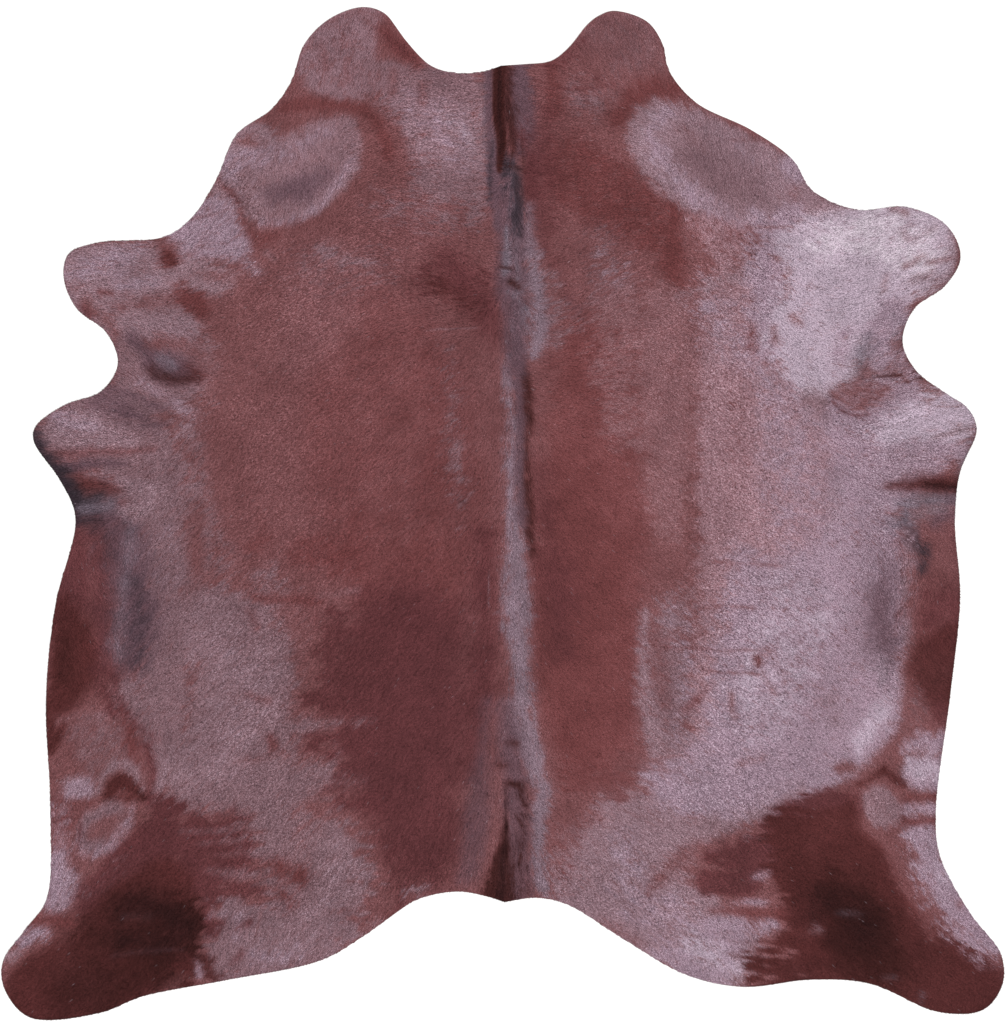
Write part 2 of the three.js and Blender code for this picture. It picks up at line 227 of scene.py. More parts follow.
# Left of the neck, with its lobe, the cheek and the shoulder. Its mauve, rose, lilac and pale lilac rows,
# but for the scratch, are painted sheen; the cheek hollow, the cheek fold and the armhole crease are painted
# shade.
leftNeckMarks = [
    ("neck lobe", "rose", "wash", 0.66, [(-30, 104, 5), (-35, 97, 9), (-33, 92, 7)]),
    ("lobe crown", "brown", "wash", 0.35, [(-37, 103.6, 1.2), (-31, 105.4, 1.4), (-26, 104, 1)]),
    ("neck", "rose", "field", 0.85, [(-20, 88, 6), (-12, 84, 9), (-10, 76, 8)]),
    ("neck, low", "mauve", "field", 0.75, [(-16, 69, 4), (-8, 69, 5), (-6, 64, 3)]),
    ("neck edge", "mauve", "wash", 0.8, [(-26, 92, 4), (-15, 91, 4), (-6, 88, 3)]),
    ("neck gleam", "lilac", "field", 0.35, [(-18, 86, 3), (-10, 80, 5), (-7, 74, 3)]),
    ("neck bright", "paleLilac", "patch", 0.35, [(-13, 84, 0.8), (-6, 79, 1)]),
    ("lobe streak", "redBrown", "patch", 0.5, [(-38, 98, 0.7), (-37, 93.6, 0.9)]),
    ("lobe streak, right", "redBrown", "patch", 0.4, [(-33, 95, 0.6), (-32, 91, 0.8)]),
    ("lobe dark side", "redBrown", "wash", 0.8, [(-25.5, 101.4, 1.2), (-21.5, 98, 2.4), (-18, 94.6, 1.6)]),
    ("lobe dark core", "deepBrown", "patch", 0.5, [(-24.5, 100.5, 0.7), (-21, 97.4, 1)]),
    ("neck streaks", "brown", "patch", 0.5, [(-23, 93, 0.8), (-23, 88, 0.9)]),
    ("neck streaks, right", "brown", "wash", 0.5, [(-16.6, 90, 1), (-17, 86, 1.2)]),
    ("brow", "brown", "wash", 0.95,
     [(-45.6, 84, 1), (-43, 85, 2.6), (-36, 85.4, 1.9), (-29, 83.6, 1.6), (-24, 78, 2.8), (-25, 69, 4)]),
    ("brow shade", "redBrown", "patch", 0.75,
     [(-46, 84.4, 0.8), (-43, 85.8, 1.5), (-36, 86, 1.2), (-29, 84.6, 1.1), (-25, 80, 1.2),
      (-23.4, 75, 1.4)]),
    ("cheek", "rose", "patch", 0.75, [(-57, 71.5, 6.4), (-47, 69.8, 9.2), (-38, 74.6, 8), (-34, 79, 4.6)]),
    ("cheek, outer", "rose", "wash", 0.9, [(-58, 77, 2.4), (-54, 80.4, 2.2), (-49, 79.6, 2)]),
    ("cheek, outer gleam", "lilac", "wash", 0.5, [(-59, 74, 1.6), (-57, 71, 1.6)]),
    ("cheek gleam", "lilac", "wash", 0.5,
     [(-59, 74, 1.8), (-52, 74.6, 2.2), (-44, 77, 1.8), (-37, 80.6, 1.4)]),
    ("cheek gleam, low", "lilac", "field", 0.35, [(-58, 70, 2), (-54, 67, 2)]),
    ("cheek hollow", "ash", "shade", 0.7, [(-48, 66.6, 2), (-43, 68.6, 3.2), (-37, 70.6, 2)]),
    ("cheek hollow, core", "ash", "shade", 0.5, [(-45, 68, 1.4), (-41, 69.6, 1.4)]),
    ("cheek bar", "brown", "fleck", 0.75, [(-55.4, 78.2, 0.6), (-51.8, 77.4, 0.5)]),
    ("cheek rim", "lilac", "patch", 0.5,
     [(-50, 60.6, 0.9), (-43, 61.4, 0.9), (-36.6, 66.4, 0.9), (-31.4, 74, 0.8)]),
    ("cheek fold", "redBrown", "fleck", 0.8, [(-60, 69.6, 0.3), (-56, 66.4, 0.6), (-54, 61, 0.6)]),
    ("armhole sheen", "lilac", "wash", 0.8, [(-69, 59, 2.4), (-62, 60.6, 6), (-57, 57, 4)]),
    ("armhole rim", "lilac", "wash", 0.6, [(-57, 58, 0.8), (-54.4, 53.4, 1.6), (-51.6, 50.6, 1)]),
    ("armhole crease", "brown", "line", 0.5, [(-66, 62, 0.25), (-59, 62.8, 0.3)]),
    ("shoulder edge", "redBrown", "patch", 0.55, [(-53.6, 59.4, 0.6), (-50.4, 57.4, 1.6), (-47, 58.4, 0.8)]),
    ("shoulder patch", "rose", "wash", 0.6, [(-37, 54.4, 1.6), (-30, 52.6, 1.6), (-27, 52.6, 1.4)]),
    ("shoulder fleck", "mauve", "fleck", 0.6, [(-49.4, 55, 0.6), (-48, 53.6, 0.6)]),
    ("withers wash", "mauve", "field", 0.5, [(-26, 65, 3), (-14, 63, 5), (-6, 61, 3)]),
    ("shoulder wash", "mauve", "field", 0.3, [(-42, 51, 5), (-26, 50, 6)]),
    ("shoulder spot", "maroon", "haze", 0.6, [(-15, 48.4, 1), (-11, 45.8, 2), (-6, 44, 1)]),
    ("left scratch", "rose", "line", 0.5, [(-15.6, 38.6, 0.12), (-5, 38.7, 0.14)]),
]

# Left foreleg, armpit and elbow. Its mauve, rose and lilac rows are painted sheen. The armpit's streak, spot,
# slate and darks and the elbow wrinkles are painted shade, and the elbow's bands, rim, pocket and low gleam
# are the painted shade and sheen of its fold.
leftForeMarks = [
    ("foreleg", "rose", "wash", 0.8, [(-90, 51, 5), (-80, 51.5, 6), (-70, 50, 6), (-60, 49, 4)]),
    ("foreleg, low", "rose", "wash", 0.85, [(-90, 45.4, 2.4), (-84, 42, 4.4), (-76, 41, 4.4), (-67, 40, 4)]),
    ("armpit wash", "mauve", "wash", 0.8, [(-79, 34, 4), (-74, 26, 6), (-66, 30, 6)]),
    ("armpit sheen speckle", "rose", "field", 0.4, [(-66, 38, 5), (-64, 28, 4), (-68, 18, 3)]),
    ("foreleg gleam", "lilac", "wash", 0.6, [(-91, 50, 1.6), (-83, 52.6, 2.4), (-76, 55.4, 1.8)]),
    ("foreleg gleam, low", "lilac", "wash", 0.5, [(-80, 48, 1.4), (-73, 48.6, 1.2)]),
    ("foreleg root gleam", "lilac", "field", 0.1, [(-63, 54, 2), (-56, 53, 2)]),
    ("foreleg spot", "redBrown", "wash", 0.9, [(-71.4, 55.6, 1), (-69.6, 53.6, 2.2)]),
    ("foreleg spot, core", "maroon", "shade", 0.75, [(-70.4, 54.6, 1), (-69, 52.6, 1)]),
    ("foreleg root sheen", "lilac", "patch", 0.7, [(-66.4, 55.4, 1.5), (-62, 54.6, 1.4)]),
    ("foreleg fleck", "redBrown", "fleck", 0.6, [(-84.6, 46.4, 0.8), (-82, 46.2, 0.7)]),
    ("foreleg foot", "deepBrown", "fleck", 0.8, [(-88.4, 43.6, 1), (-86.4, 41.4, 1.2)]),
    ("foreleg sole", "brown", "wash", 0.6, [(-88, 44.6, 1.2), (-84, 41, 1.8), (-81, 38, 1.2)]),
    ("foreleg mottle", "brown", "wash", 0.6, [(-80, 43.6, 1), (-71, 44.8, 1.6), (-67, 48, 0.9)]),
    ("foreleg root patch", "redBrown", "wash", 0.9, [(-66.6, 45.4, 2), (-63.6, 43.6, 2.8)]),
    ("foreleg root bar", "brown", "wash", 0.12, [(-59.4, 45, 1.8), (-59, 37, 1.6)]),
    ("foreleg root bar, top", "brown", "wash", 0.55, [(-63, 50, 1.4), (-58, 49.6, 2)]),
    ("armpit gleam", "rose", "wash", 0.6, [(-77, 40.2, 1.4), (-70, 38.4, 1.8), (-65, 38.4, 1.4)]),
    ("armpit brown", "brown", "wash", 0.6, [(-72, 36.4, 1), (-64, 33, 2), (-61, 27, 2)]),
    ("armpit streak", "ash", "shade", 0.85, [(-78, 37.4, 0.8), (-75.6, 34.4, 1.2), (-72, 31, 1.4)]),
    ("armpit spot", "ash", "shade", 0.97, [(-73, 31.6, 2), (-69.6, 30.2, 3.2), (-66, 28.6, 2)]),
    ("armpit slate", "slate", "patch", 0.6, [(-71.4, 32.4, 1), (-69.4, 30.8, 1.2)]),
    ("armpit dark", "darkMaroon", "shade", 0.75, [(-73.4, 30.4, 0.7), (-69.6, 28, 1), (-65.6, 28, 1.4)]),
    ("armpit dark, end", "maroon", "shade", 0.7, [(-66, 30.6, 1), (-64, 28.4, 1.2)]),
    ("elbow wash", "mauve", "wash", 0.85, [(-92, 17, 6), (-80, 17, 9), (-74, 4, 6)]),
    ("elbow shade", "ash", "haze", 0.65, [(-84, 24, 2.4), (-79, 21, 2.6), (-74, 19, 1.6)]),
    ("elbow hollow gleam", "lilac", "patch", 0.45, [(-76, 27.4, 1), (-70, 23.6, 1.2), (-65, 20.4, 1.1)]),
    ("elbow wrinkle 1", "ash", "fleck", 0.75, [(-84, 26.6, 0.4), (-77, 24.2, 0.5), (-71, 21.6, 0.4)]),
    ("elbow wrinkle 2", "ash", "fleck", 0.6, [(-87, 22.6, 0.4), (-79, 21, 0.5), (-70, 18.6, 0.4)]),
    ("elbow", "rose", "wash", 0.75, [(-94, 18, 2), (-87, 16.6, 4), (-79, 15, 2.4)]),
    ("elbow gleam", "lilac", "wash", 0.5, [(-93.6, 20.4, 2), (-86, 17.6, 1.8)]),
    ("elbow brown band", "redBrown", "shade", 0.6, [(-94, 12.6, 0.9), (-84, 12.8, 0.8), (-73, 13.4, 0.7)]),
    ("elbow rose band", "rose", "wash", 0.7, [(-87, 8.2, 0.8), (-78, 6.4, 1.6), (-73, 4, 2)]),
    ("elbow ash band", "ash", "shade", 0.9, [(-96, 9.6, 1), (-88, 10.2, 1), (-79, 10.6, 0.5)]),
    ("elbow dark band", "maroon", "shade", 0.75, [(-93, 6, 1.6), (-86, 5.4, 1.4), (-80, 4.6, 0.5)]),
    ("elbow dark rim", "navy", "shade", 0.97,
     [(-100, 18, 1.4), (-97.4, 12, 2.6), (-93.4, 7, 2.8), (-90.4, 2, 2.4)]),
    ("elbow pocket", "navy", "shade", 0.9, [(-90.6, 3.4, 2), (-87.4, 2, 2), (-84, 3.6, 0.8)]),
    ("elbow pocket, low", "navy", "haze", 0.6, [(-90, -1, 2), (-86, -2, 2)]),
    ("elbow low gleam", "slate", "shade", 0.7, [(-88, 1, 0.8), (-82, 1.8, 1.4)]),
    ("elbow low gleam, inner", "rose", "wash", 0.85, [(-79, 1, 1.6), (-75, 1, 2)]),
]

# Left side and flank, with the ragged border of the loin. Its mauve, rose and lilac rows are painted sheen,
# and the whorl's ash, navy and slate rows are the painted shade and sheen of the fold along it.
leftFlankMarks = [
    ("side wash", "mauve", "field", 0.5, [(-66, 24, 4), (-65, 8, 7), (-62, -8, 8)]),
    ("side wash, outer", "mauve", "field", 0.85, [(-71, 12, 4), (-71, -6, 6), (-70, -24, 6)]),
    ("side gleam", "lilac", "field", 0.22, [(-71, 4, 3), (-70, -14, 4)]),
    ("side brown", "brown", "wash", 0.7, [(-64, -1, 1.4), (-64.4, -8, 1.8), (-64, -14, 1)]),
    ("side brown, inner", "redBrown", "wash", 0.45, [(-57, 12, 2), (-55, 2, 4), (-52, -6, 4)]),
    ("side brown, upper", "brown", "wash", 0.85, [(-60, 22, 4), (-57, 10, 5), (-55, -2, 4)]),
    ("flank sheen", "mauve", "field", 0.95, [(-64, -22, 8), (-54, -28, 10), (-55, -46, 12), (-50, -56, 6)]),
    ("flank sheen, low", "mauve", "field", 0.95,
     [(-79, -38, 4), (-74, -50, 6), (-60, -57, 7), (-44, -56, 5), (-37, -55, 3)]),
    ("flank sheen, outer", "mauve", "field", 0.9, [(-70, -26, 5), (-71, -36, 5.4), (-71, -46, 5)]),
    ("flank sheen, top", "mauve", "field", 0.7,
     [(-50, -13, 3), (-47, -20, 3.4), (-45, -27, 3), (-45, -34, 2)]),
    ("flank gleam", "rose", "field", 0.48, [(-62, -24, 6), (-55, -36, 9), (-58, -50, 8), (-70, -55, 5)]),
    ("flank gleam, core", "lilac", "field", 0.12, [(-57, -28, 4), (-53, -40, 5), (-60, -52, 4)]),
    ("flank brown, right", "brown", "torn", 0.6, [(-45, -20, 1.6), (-42, -30, 2), (-43, -42, 1.4)]),
    ("loin field", "deepBrown", "torn", 0.65, [(-35, -24, 3), (-34, -30, 4), (-34, -37, 5)]),
    ("side streak", "redBrown", "patch", 0.75, [(-52, -17.6, 0.7), (-38, -18.8, 0.9)]),
    ("side pale streak", "rose", "patch", 0.35, [(-38.4, -18, 0.6), (-30.4, -16.4, 0.8)]),
    ("loin finger", "deepBrown", "torn", 0.8, [(-41, -39.8, 0.8), (-38, -40.6, 1.3), (-32, -40.6, 2)]),
    ("loin pale finger", "mauve", "wash", 0.8, [(-46, -45, 2.4), (-38, -44.4, 1), (-28, -43.8, 0.6)]),
    ("loin island", "deepBrown", "torn", 0.7, [(-39.4, -47.6, 1.6), (-34, -47.6, 3)]),
    ("loin island tail", "deepBrown", "torn", 0.7, [(-33, -49, 2), (-33, -55, 2), (-36, -57, 1)]),
    ("loin mauve fleck", "mauve", "wash", 0.5, [(-35, -49, 1), (-33.6, -52, 1)]),
    ("loin mauve fleck, low", "mauve", "wash", 0.35, [(-40, -53, 2), (-35, -56, 2), (-29, -57, 1.2)]),
    ("loin lower finger", "deepBrown", "wash", 0.9, [(-34, -61.4, 1.3), (-23, -61, 2.2)]),
    ("flank fleck 1", "redBrown", "patch", 0.6, [(-52.8, -20.6, 0.6), (-51.4, -24, 0.8)]),
    ("flank fleck 2", "redBrown", "patch", 0.55, [(-54, -38.4, 0.5), (-49, -39.2, 0.9)]),
    ("flank fleck 3", "redBrown", "patch", 0.75, [(-48.8, -47, 1.1), (-47.6, -49.4, 1)]),
    ("flank fleck 4", "brown", "wash", 0.6, [(-55, -11, 1), (-50, -10.8, 1)]),
    ("flank fleck 5", "brown", "wash", 0.5, [(-67, -17, 1.4), (-61, -13, 1.2)]),
    ("flank fleck 6", "brown", "wash", 0.5, [(-56, -52, 0.7), (-45, -51, 0.8)]),
    ("flank edge", "deepBrown", "shade", 0.75, [(-91, -1, 3), (-90.4, -10, 4), (-91, -18, 4.4)]),
    ("flank edge, inner", "deepBrown", "haze", 0.9,
     [(-85, -2, 2.6), (-84.6, -12, 2.8), (-84, -22, 3), (-83, -33, 2.6)]),
    ("flank edge, low", "maroon", "shade", 0.95,
     [(-92, -20, 3), (-90, -30, 5.4), (-92, -38, 3.6), (-97, -43, 1.2)]),
    ("flank edge, fleck", "mauve", "wash", 0.35, [(-86.6, -7, 0.6), (-87, -14, 0.6)]),
    ("flank edge, darkest", "darkMaroon", "shade", 0.5, [(-92, -27, 2), (-92, -34, 2)]),
    ("flank edge ray", "mauve", "patch", 0.3, [(-96, -44.6, 0.4), (-88, -42.6, 0.9)]),
    ("flank edge foot", "maroon", "patch", 0.9, [(-96.4, -45, 3), (-95.6, -49, 1.8), (-92, -45, 1)]),
    ("whorl", "ash", "haze", 0.95, [(-81, 0, 4), (-78.8, -12, 4.4), (-77.4, -24, 4.8), (-78.4, -31, 2.6)]),
    ("whorl dark", "navy", "haze", 0.3, [(-84, -3, 1), (-82.6, -9, 1.2)]),
    ("whorl dark, top", "navy", "haze", 0.45, [(-77.4, -15, 1.2), (-76.2, -22, 1.8), (-76.6, -31, 2.2)]),
    ("whorl ridge", "slate", "haze", 0.5,
     [(-78, -1, 1.4), (-78.6, -9, 1), (-80, -18, 0.5), (-81, -26, 1.4), (-80.6, -30, 0.8)]),
]

# Left stifle, thigh and hind leg. Its mauve, rose and lilac rows are painted sheen, the stifle arc and knee
# sheen the painted highlights of the folds there. The stifle pocket, the leg wrinkles, the knee line and the
# thigh line are painted shade in folds and creases.
leftRumpMarks = [
    ("stifle wash", "mauve", "wash", 0.45, [(-88, -46, 3.6), (-84, -44, 3.6), (-85, -51, 5)]),
    ("stifle brown", "redBrown", "wash", 0.85, [(-80, -42, 1), (-77.6, -48, 2.4), (-76, -54, 1.6)]),
    ("stifle brown, top", "deepBrown", "wash", 0.75, [(-84.6, -36, 1.6), (-82, -42, 1.6)]),
    ("stifle strip", "deepBrown", "patch", 0.65,
     [(-86, -33, 1), (-81.8, -34.4, 0.8), (-80.6, -38.6, 0.9), (-77, -44.6, 0.8), (-73, -47, 0.4)]),
    ("stifle strip, low", "deepBrown", "patch", 0.85, [(-74.6, -49, 1), (-73.8, -55, 1.2), (-74, -60, 0.7)]),
    ("stifle side", "brown", "wash", 0.7, [(-76, -51, 1.4), (-74.6, -57, 1.2)]),
    ("stifle patch", "lilac", "patch", 0.75, [(-90.6, -57.6, 2), (-88, -57.4, 2.4)]),
    ("leg edge sheen", "lilac", "wash", 0.8, [(-93.4, -72.6, 2.4), (-92.6, -79, 3.6), (-94.6, -83, 1.6)]),
    ("leg edge mauve", "lilac", "wash", 0.4, [(-93.6, -62, 2.6), (-92.4, -70, 2.8)]),
    ("leg wrinkle 1", "redBrown", "line", 0.8, [(-95, -60.4, 0.35), (-86, -60.6, 0.35)]),
    ("leg wrinkle 2", "redBrown", "line", 0.7, [(-95, -62.2, 0.35), (-85, -62, 0.35)]),
    ("leg wrinkle 3", "redBrown", "line", 0.85, [(-95, -64.2, 0.45), (-87, -63.8, 0.4)]),
    ("leg wrinkle 4", "redBrown", "line", 0.7, [(-95, -66.4, 0.4), (-89, -66, 0.4)]),
    ("thigh brown", "deepBrown", "torn", 0.85, [(-70, -65, 4), (-64, -71, 7), (-61, -80, 4)]),
    ("thigh brown, top", "deepBrown", "torn", 0.8, [(-73, -62, 1), (-68, -63, 2)]),
    ("thigh brown, right", "deepBrown", "shreds", 0.75, [(-58, -64, 2), (-55, -71, 4), (-56, -79, 3)]),
    ("thigh streak 1", "deepBrown", "patch", 0.65, [(-60, -63.6, 0.7), (-53.6, -64.4, 0.7)]),
    ("thigh sheen", "mauve", "shreds", 0.95,
     [(-49, -62, 4.4), (-44, -68, 7), (-38, -76, 11), (-42, -88, 9), (-55, -91, 9)]),
    ("thigh gleam", "rose", "field", 0.42, [(-36, -71, 4), (-34, -78, 6), (-44, -90, 6), (-57, -88, 5)]),
    ("thigh dusk", "brown", "field", 0.45, [(-37, -57, 2), (-41, -65, 3), (-44, -73, 2.4)]),
    ("thigh gleam, low", "lilac", "wash", 0.4, [(-52, -93.6, 1.6), (-43, -92.6, 2)]),
    ("rump sheen", "lilac", "field", 0.08, [(-34, -70, 4), (-34, -80, 4), (-46, -90, 4)]),
    ("thigh spot", "redBrown", "wash", 0.8, [(-48, -73.4, 1.6), (-45, -74.6, 2.6), (-42, -77, 1.8)]),
    ("thigh spot, low", "redBrown", "wash", 0.65, [(-47, -79.6, 1), (-44, -81.4, 1.8)]),
    ("thigh hollow", "mauve", "wash", 0.5, [(-50, -79.4, 1), (-48.6, -79, 0.8)]),
    ("thigh streak 2", "mauve", "patch", 0.6, [(-67, -66.6, 0.4), (-58, -66.4, 0.8), (-50, -66, 0.6)]),
    ("thigh streak 3", "mauve", "patch", 0.5, [(-64, -69.4, 0.4), (-55, -68.8, 0.7)]),
    ("thigh streak 4", "mauve", "patch", 0.6, [(-62, -75, 0.4), (-56, -75.6, 1), (-50, -76.2, 0.8)]),
    ("thigh streak 5", "deepBrown", "patch", 0.65, [(-58, -79.4, 0.9), (-52, -78.6, 1.1), (-50, -80, 0.6)]),
    ("thigh streak 6", "mauve", "patch", 0.4, [(-60, -72, 0.3), (-54, -71.6, 0.6), (-50, -71.4, 0.6)]),
    ("rump brown bar", "brown", "wash", 0.6, [(-36, -84, 0.7), (-25, -82.6, 1)]),
    ("rump foot edge", "rose", "wash", 0.5, [(-26, -86.6, 1.6), (-36, -92, 1.6)]),
    ("thigh tuft 1", "deepBrown", "patch", 0.95, [(-63, -85, 1), (-60.4, -87.6, 1.8), (-58.4, -86, 1)]),
    ("thigh tuft 2", "deepBrown", "patch", 0.7, [(-56.4, -87.6, 0.8), (-53.4, -86.2, 1)]),
    ("thigh tuft 3", "maroon", "torn", 0.85, [(-62.4, -92.6, 1), (-60.6, -96, 1.6)]),
    ("thigh tuft 4", "deepBrown", "patch", 0.6, [(-57, -94.6, 0.8), (-54.6, -92.6, 0.8)]),
    ("thigh line", "brown", "line", 0.6, [(-50.4, -83, 0.18), (-51.8, -90, 0.18)]),
    ("leg slope", "deepBrown", "wash", 0.95, [(-72, -66, 3), (-76, -73, 6), (-80, -78, 6), (-86, -81, 4)]),
    ("leg slope, lilac", "mauve", "field", 0.25, [(-80, -76, 3), (-88, -80, 2)]),
    ("hind leg", "maroon", "shade", 0.97, [(-71, -79, 6.4), (-75, -87, 11), (-84, -96, 10), (-96, -102, 9)]),
    ("hind leg, low", "darkMaroon", "haze", 0.7, [(-70, -94, 4), (-80, -98, 5), (-90, -99, 5)]),
    ("hind leg core", "darkMaroon", "haze", 0.85, [(-80, -83, 3), (-73, -84, 5), (-74, -91, 7)]),
    ("hind leg core, left", "darkMaroon", "haze", 0.65, [(-91, -87, 2), (-82, -89, 5)]),
    ("hind leg fringe", "darkMaroon", "torn", 0.9, [(-67, -82, 2), (-65, -87, 2.4), (-65, -91.6, 1.6)]),
    ("hind leg fringe, foot", "maroon", "torn", 0.9, [(-67, -95, 2), (-66, -98, 2)]),
    ("hind leg black", "nearBlack", "haze", 0.55,
     [(-80, -84, 1.6), (-73, -83, 2.4), (-67, -87, 2.4), (-72, -90, 2.4), (-80, -90, 2)]),
    ("hind leg slate", "slate", "patch", 0.2, [(-79, -84.6, 0.8), (-74, -85, 0.8)]),
    ("hind leg glow", "redBrown", "haze", 0.25, [(-92, -95, 3), (-86, -100, 2)]),
    ("hind leg gleam", "ash", "fleck", 0.3, [(-82, -93.4, 0.4), (-74, -92, 0.4), (-67, -91.8, 0.3)]),
    ("hock block", "mauve", "wash", 0.85, [(-57.4, -84, 1.4), (-57.4, -89, 2), (-58.4, -95, 2)]),
    ("hock block, sheen", "lilac", "wash", 0.45, [(-61.4, -85, 0.6), (-56, -84.6, 1.2), (-55, -88.8, 1)]),
    ("hock block, pale", "lilac", "patch", 0.7, [(-64, -94.4, 0.5), (-63.6, -97, 0.8)]),
    ("hock gleam", "lilac", "wash", 0.9, [(-96.6, -88.6, 1.6), (-100.6, -89.2, 2)]),
    ("hock gleam, edge", "rose", "wash", 0.8, [(-106, -93, 1.6), (-103, -93, 1.4)]),
    ("hock gleam, low", "redBrown", "wash", 0.8, [(-99, -85.6, 1), (-91, -86, 1.4)]),
    ("stifle pocket", "maroon", "fleck", 0.9,
     [(-83.2, -59.4, 0.8), (-81, -56.6, 1.6), (-78.6, -56.8, 1.8), (-75.8, -59.8, 0.7)]),
    ("stifle pocket, floor", "redBrown", "fleck", 0.6, [(-80.6, -59.4, 0.8), (-78, -59.6, 0.8)]),
    ("stifle pocket foot", "maroon", "line", 0.6, [(-84, -60, 0.4), (-74.6, -60.2, 0.4)]),
    ("stifle pocket tip", "darkMaroon", "line", 0.6, [(-77.4, -58.2, 0.5), (-74.6, -60.2, 0.4)]),
    ("stifle arc", "rose", "patch", 0.75,
     [(-85.4, -59, 0.5), (-83.8, -55, 0.8), (-79.8, -52.8, 1), (-77.2, -54.6, 0.8), (-76, -57.4, 0.4)]),
    ("knee base", "mauve", "patch", 0.95, [(-82, -62.6, 2.6), (-85.6, -66, 3.6), (-86, -69, 2.4)]),
    ("knee base, dusk", "ash", "patch", 0.35, [(-83, -63, 1.8), (-86.4, -67.6, 2.4)]),
    ("knee sheen", "lilac", "patch", 0.55,
     [(-89, -69, 0.6), (-86.6, -71.4, 1), (-82, -69.2, 1.4), (-79, -65.6, 1.1), (-78, -62, 0.7)]),
    ("knee oval", "brown", "patch", 0.85, [(-86, -67.6, 1.2), (-83.6, -65.8, 1.9), (-81, -63.8, 1)]),
    ("knee oval, top", "mauve", "patch", 0.4, [(-84, -62, 1), (-80, -61.8, 0.9)]),
    ("knee line", "deepBrown", "line", 0.6, [(-88.2, -65, 0.2), (-88.7, -70.6, 0.25)]),
    ("rump edge", "deepBrown", "wash", 0.6, [(-24, -68, 1), (-22, -76, 2), (-21, -81, 2), (-23, -84, 1.4)]),
    ("rump right wash", "rose", "field", 0.6, [(-20, -80, 1.6), (-16.6, -79.4, 1.6)]),
]

# Right of the neck, with its lobe, the cheek and the top of the shoulder. Its mauve, rose, lilac and pale
# lilac rows are painted sheen, dimmed by the cheek hollow and shade as painted shade. The neck wrinkles, the
# cheek and armhole creases and the armhole fold are painted shade.
rightNeckMarks = [
    ("right lobe", "mauve", "haze", 0.4, [(19, 101, 4), (26, 100, 7), (31, 96, 3)]),
    ("right neck streaks", "mauve", "wash", 0.15, [(8, 93, 2), (7.4, 84, 2), (7, 72, 1.2)]),
    ("right neck wash", "mauve", "field", 0.5, [(16, 87, 4), (22, 87, 4)]),
    ("right neck brown", "redBrown", "wash", 0.6, [(11, 94, 2), (11, 84, 2.4)]),
    ("lobe foot", "redBrown", "wash", 0.75, [(24, 83, 2.4), (30, 89, 2.6), (37, 89, 2)]),
    ("right neck foot", "deepBrown", "wash", 0.6, [(9, 95, 1), (13, 96.4, 1.6), (17, 99, 1)]),
    ("neck wrinkle 1", "deepBrown", "line", 0.6, [(1.6, 91.2, 0.2), (11, 89, 0.22), (24, 90, 0.2)]),
    ("neck wrinkle 2", "deepBrown", "line", 0.55, [(2, 92.8, 0.18), (9, 90.4, 0.2)]),
    ("neck tuft 1", "deepBrown", "line", 0.6, [(19.6, 91.4, 0.35), (20.6, 91.2, 0.35)]),
    ("neck tuft 2", "deepBrown", "line", 0.5, [(24.6, 95.2, 0.3), (25.4, 95.2, 0.3)]),
    ("right shoulder wash", "mauve", "field", 0.45, [(21, 57, 4), (24, 47, 5)]),
    ("right shoulder gleam", "lilac", "field", 0.2, [(22, 54, 3), (25, 48, 3)]),
    ("right shoulder wash, low", "mauve", "field", 0.4, [(14, 42, 4), (34, 42, 4)]),
    ("right shoulder shade", "deepBrown", "wash", 0.4, [(9, 57, 1.2), (12, 50, 1.6), (15, 43, 1)]),
    ("shoulder bar", "redBrown", "wash", 0.9, [(36, 64, 2), (35.4, 54, 2.2), (37, 47, 2)]),
    ("right cheek", "rose", "wash", 0.95, [(33, 79.6, 7), (41, 74.4, 10.4), (52, 70.4, 9.6), (64, 66.4, 5)]),
    ("right cheek hollow", "mauve", "haze", 0.85, [(38, 75, 3), (46, 69.4, 5.6), (52, 68, 3.6)]),
    ("right cheek shade", "ash", "haze", 0.25, [(42, 73, 3), (55, 67.6, 3)]),
    ("right cheek streak", "brown", "wash", 0.4, [(37, 81, 1), (42, 77.6, 1)]),
    ("right cheek gleam", "lilac", "wash", 0.6,
     [(35, 84.4, 1.6), (31.6, 80, 1.6), (34.6, 73, 2), (41, 67, 1.8), (47, 63.6, 1)]),
    ("right cheek rim", "paleLilac", "wash", 0.2,
     [(32, 84, 0.8), (29.4, 79, 0.8), (33, 73, 0.8), (42, 65, 1)]),
    ("right cheek top", "lilac", "wash", 0.25, [(36, 84.4, 1), (46, 80, 1), (54, 73, 1.6), (61, 69, 2)]),
    ("right cheek end", "lilac", "wash", 0.85, [(60, 74, 1.4), (62.6, 71.6, 2.2)]),
    ("right cheek foot", "lilac", "wash", 0.8, [(38, 68, 1.2), (43, 63.4, 1.6), (50, 60.6, 1.2)]),
    ("armhole base", "lilac", "wash", 0.9, [(53, 62.4, 1.6), (57, 59.4, 3.4), (62, 63.4, 2.6)]),
    ("cheek edge", "brown", "patch", 0.9, [(38, 88, 0.6), (48, 83, 0.9), (59, 77, 1.4)]),
    ("right cheek crease", "brown", "line", 0.65, [(48.6, 78.5, 0.2), (55, 78.7, 0.25)]),
    ("right cheek patch", "brown", "wash", 0.5, [(61.6, 68, 1), (61.6, 66, 1.4)]),
    ("right armhole crease", "brown", "line", 0.8, [(52, 59.6, 0.2), (60, 60.4, 0.25), (69, 61.5, 0.22)]),
    ("right armhole fold", "deepBrown", "line", 0.65,
     [(67.2, 66, 0.4), (66.4, 64.6, 0.4), (64.6, 63.6, 0.35)]),
]

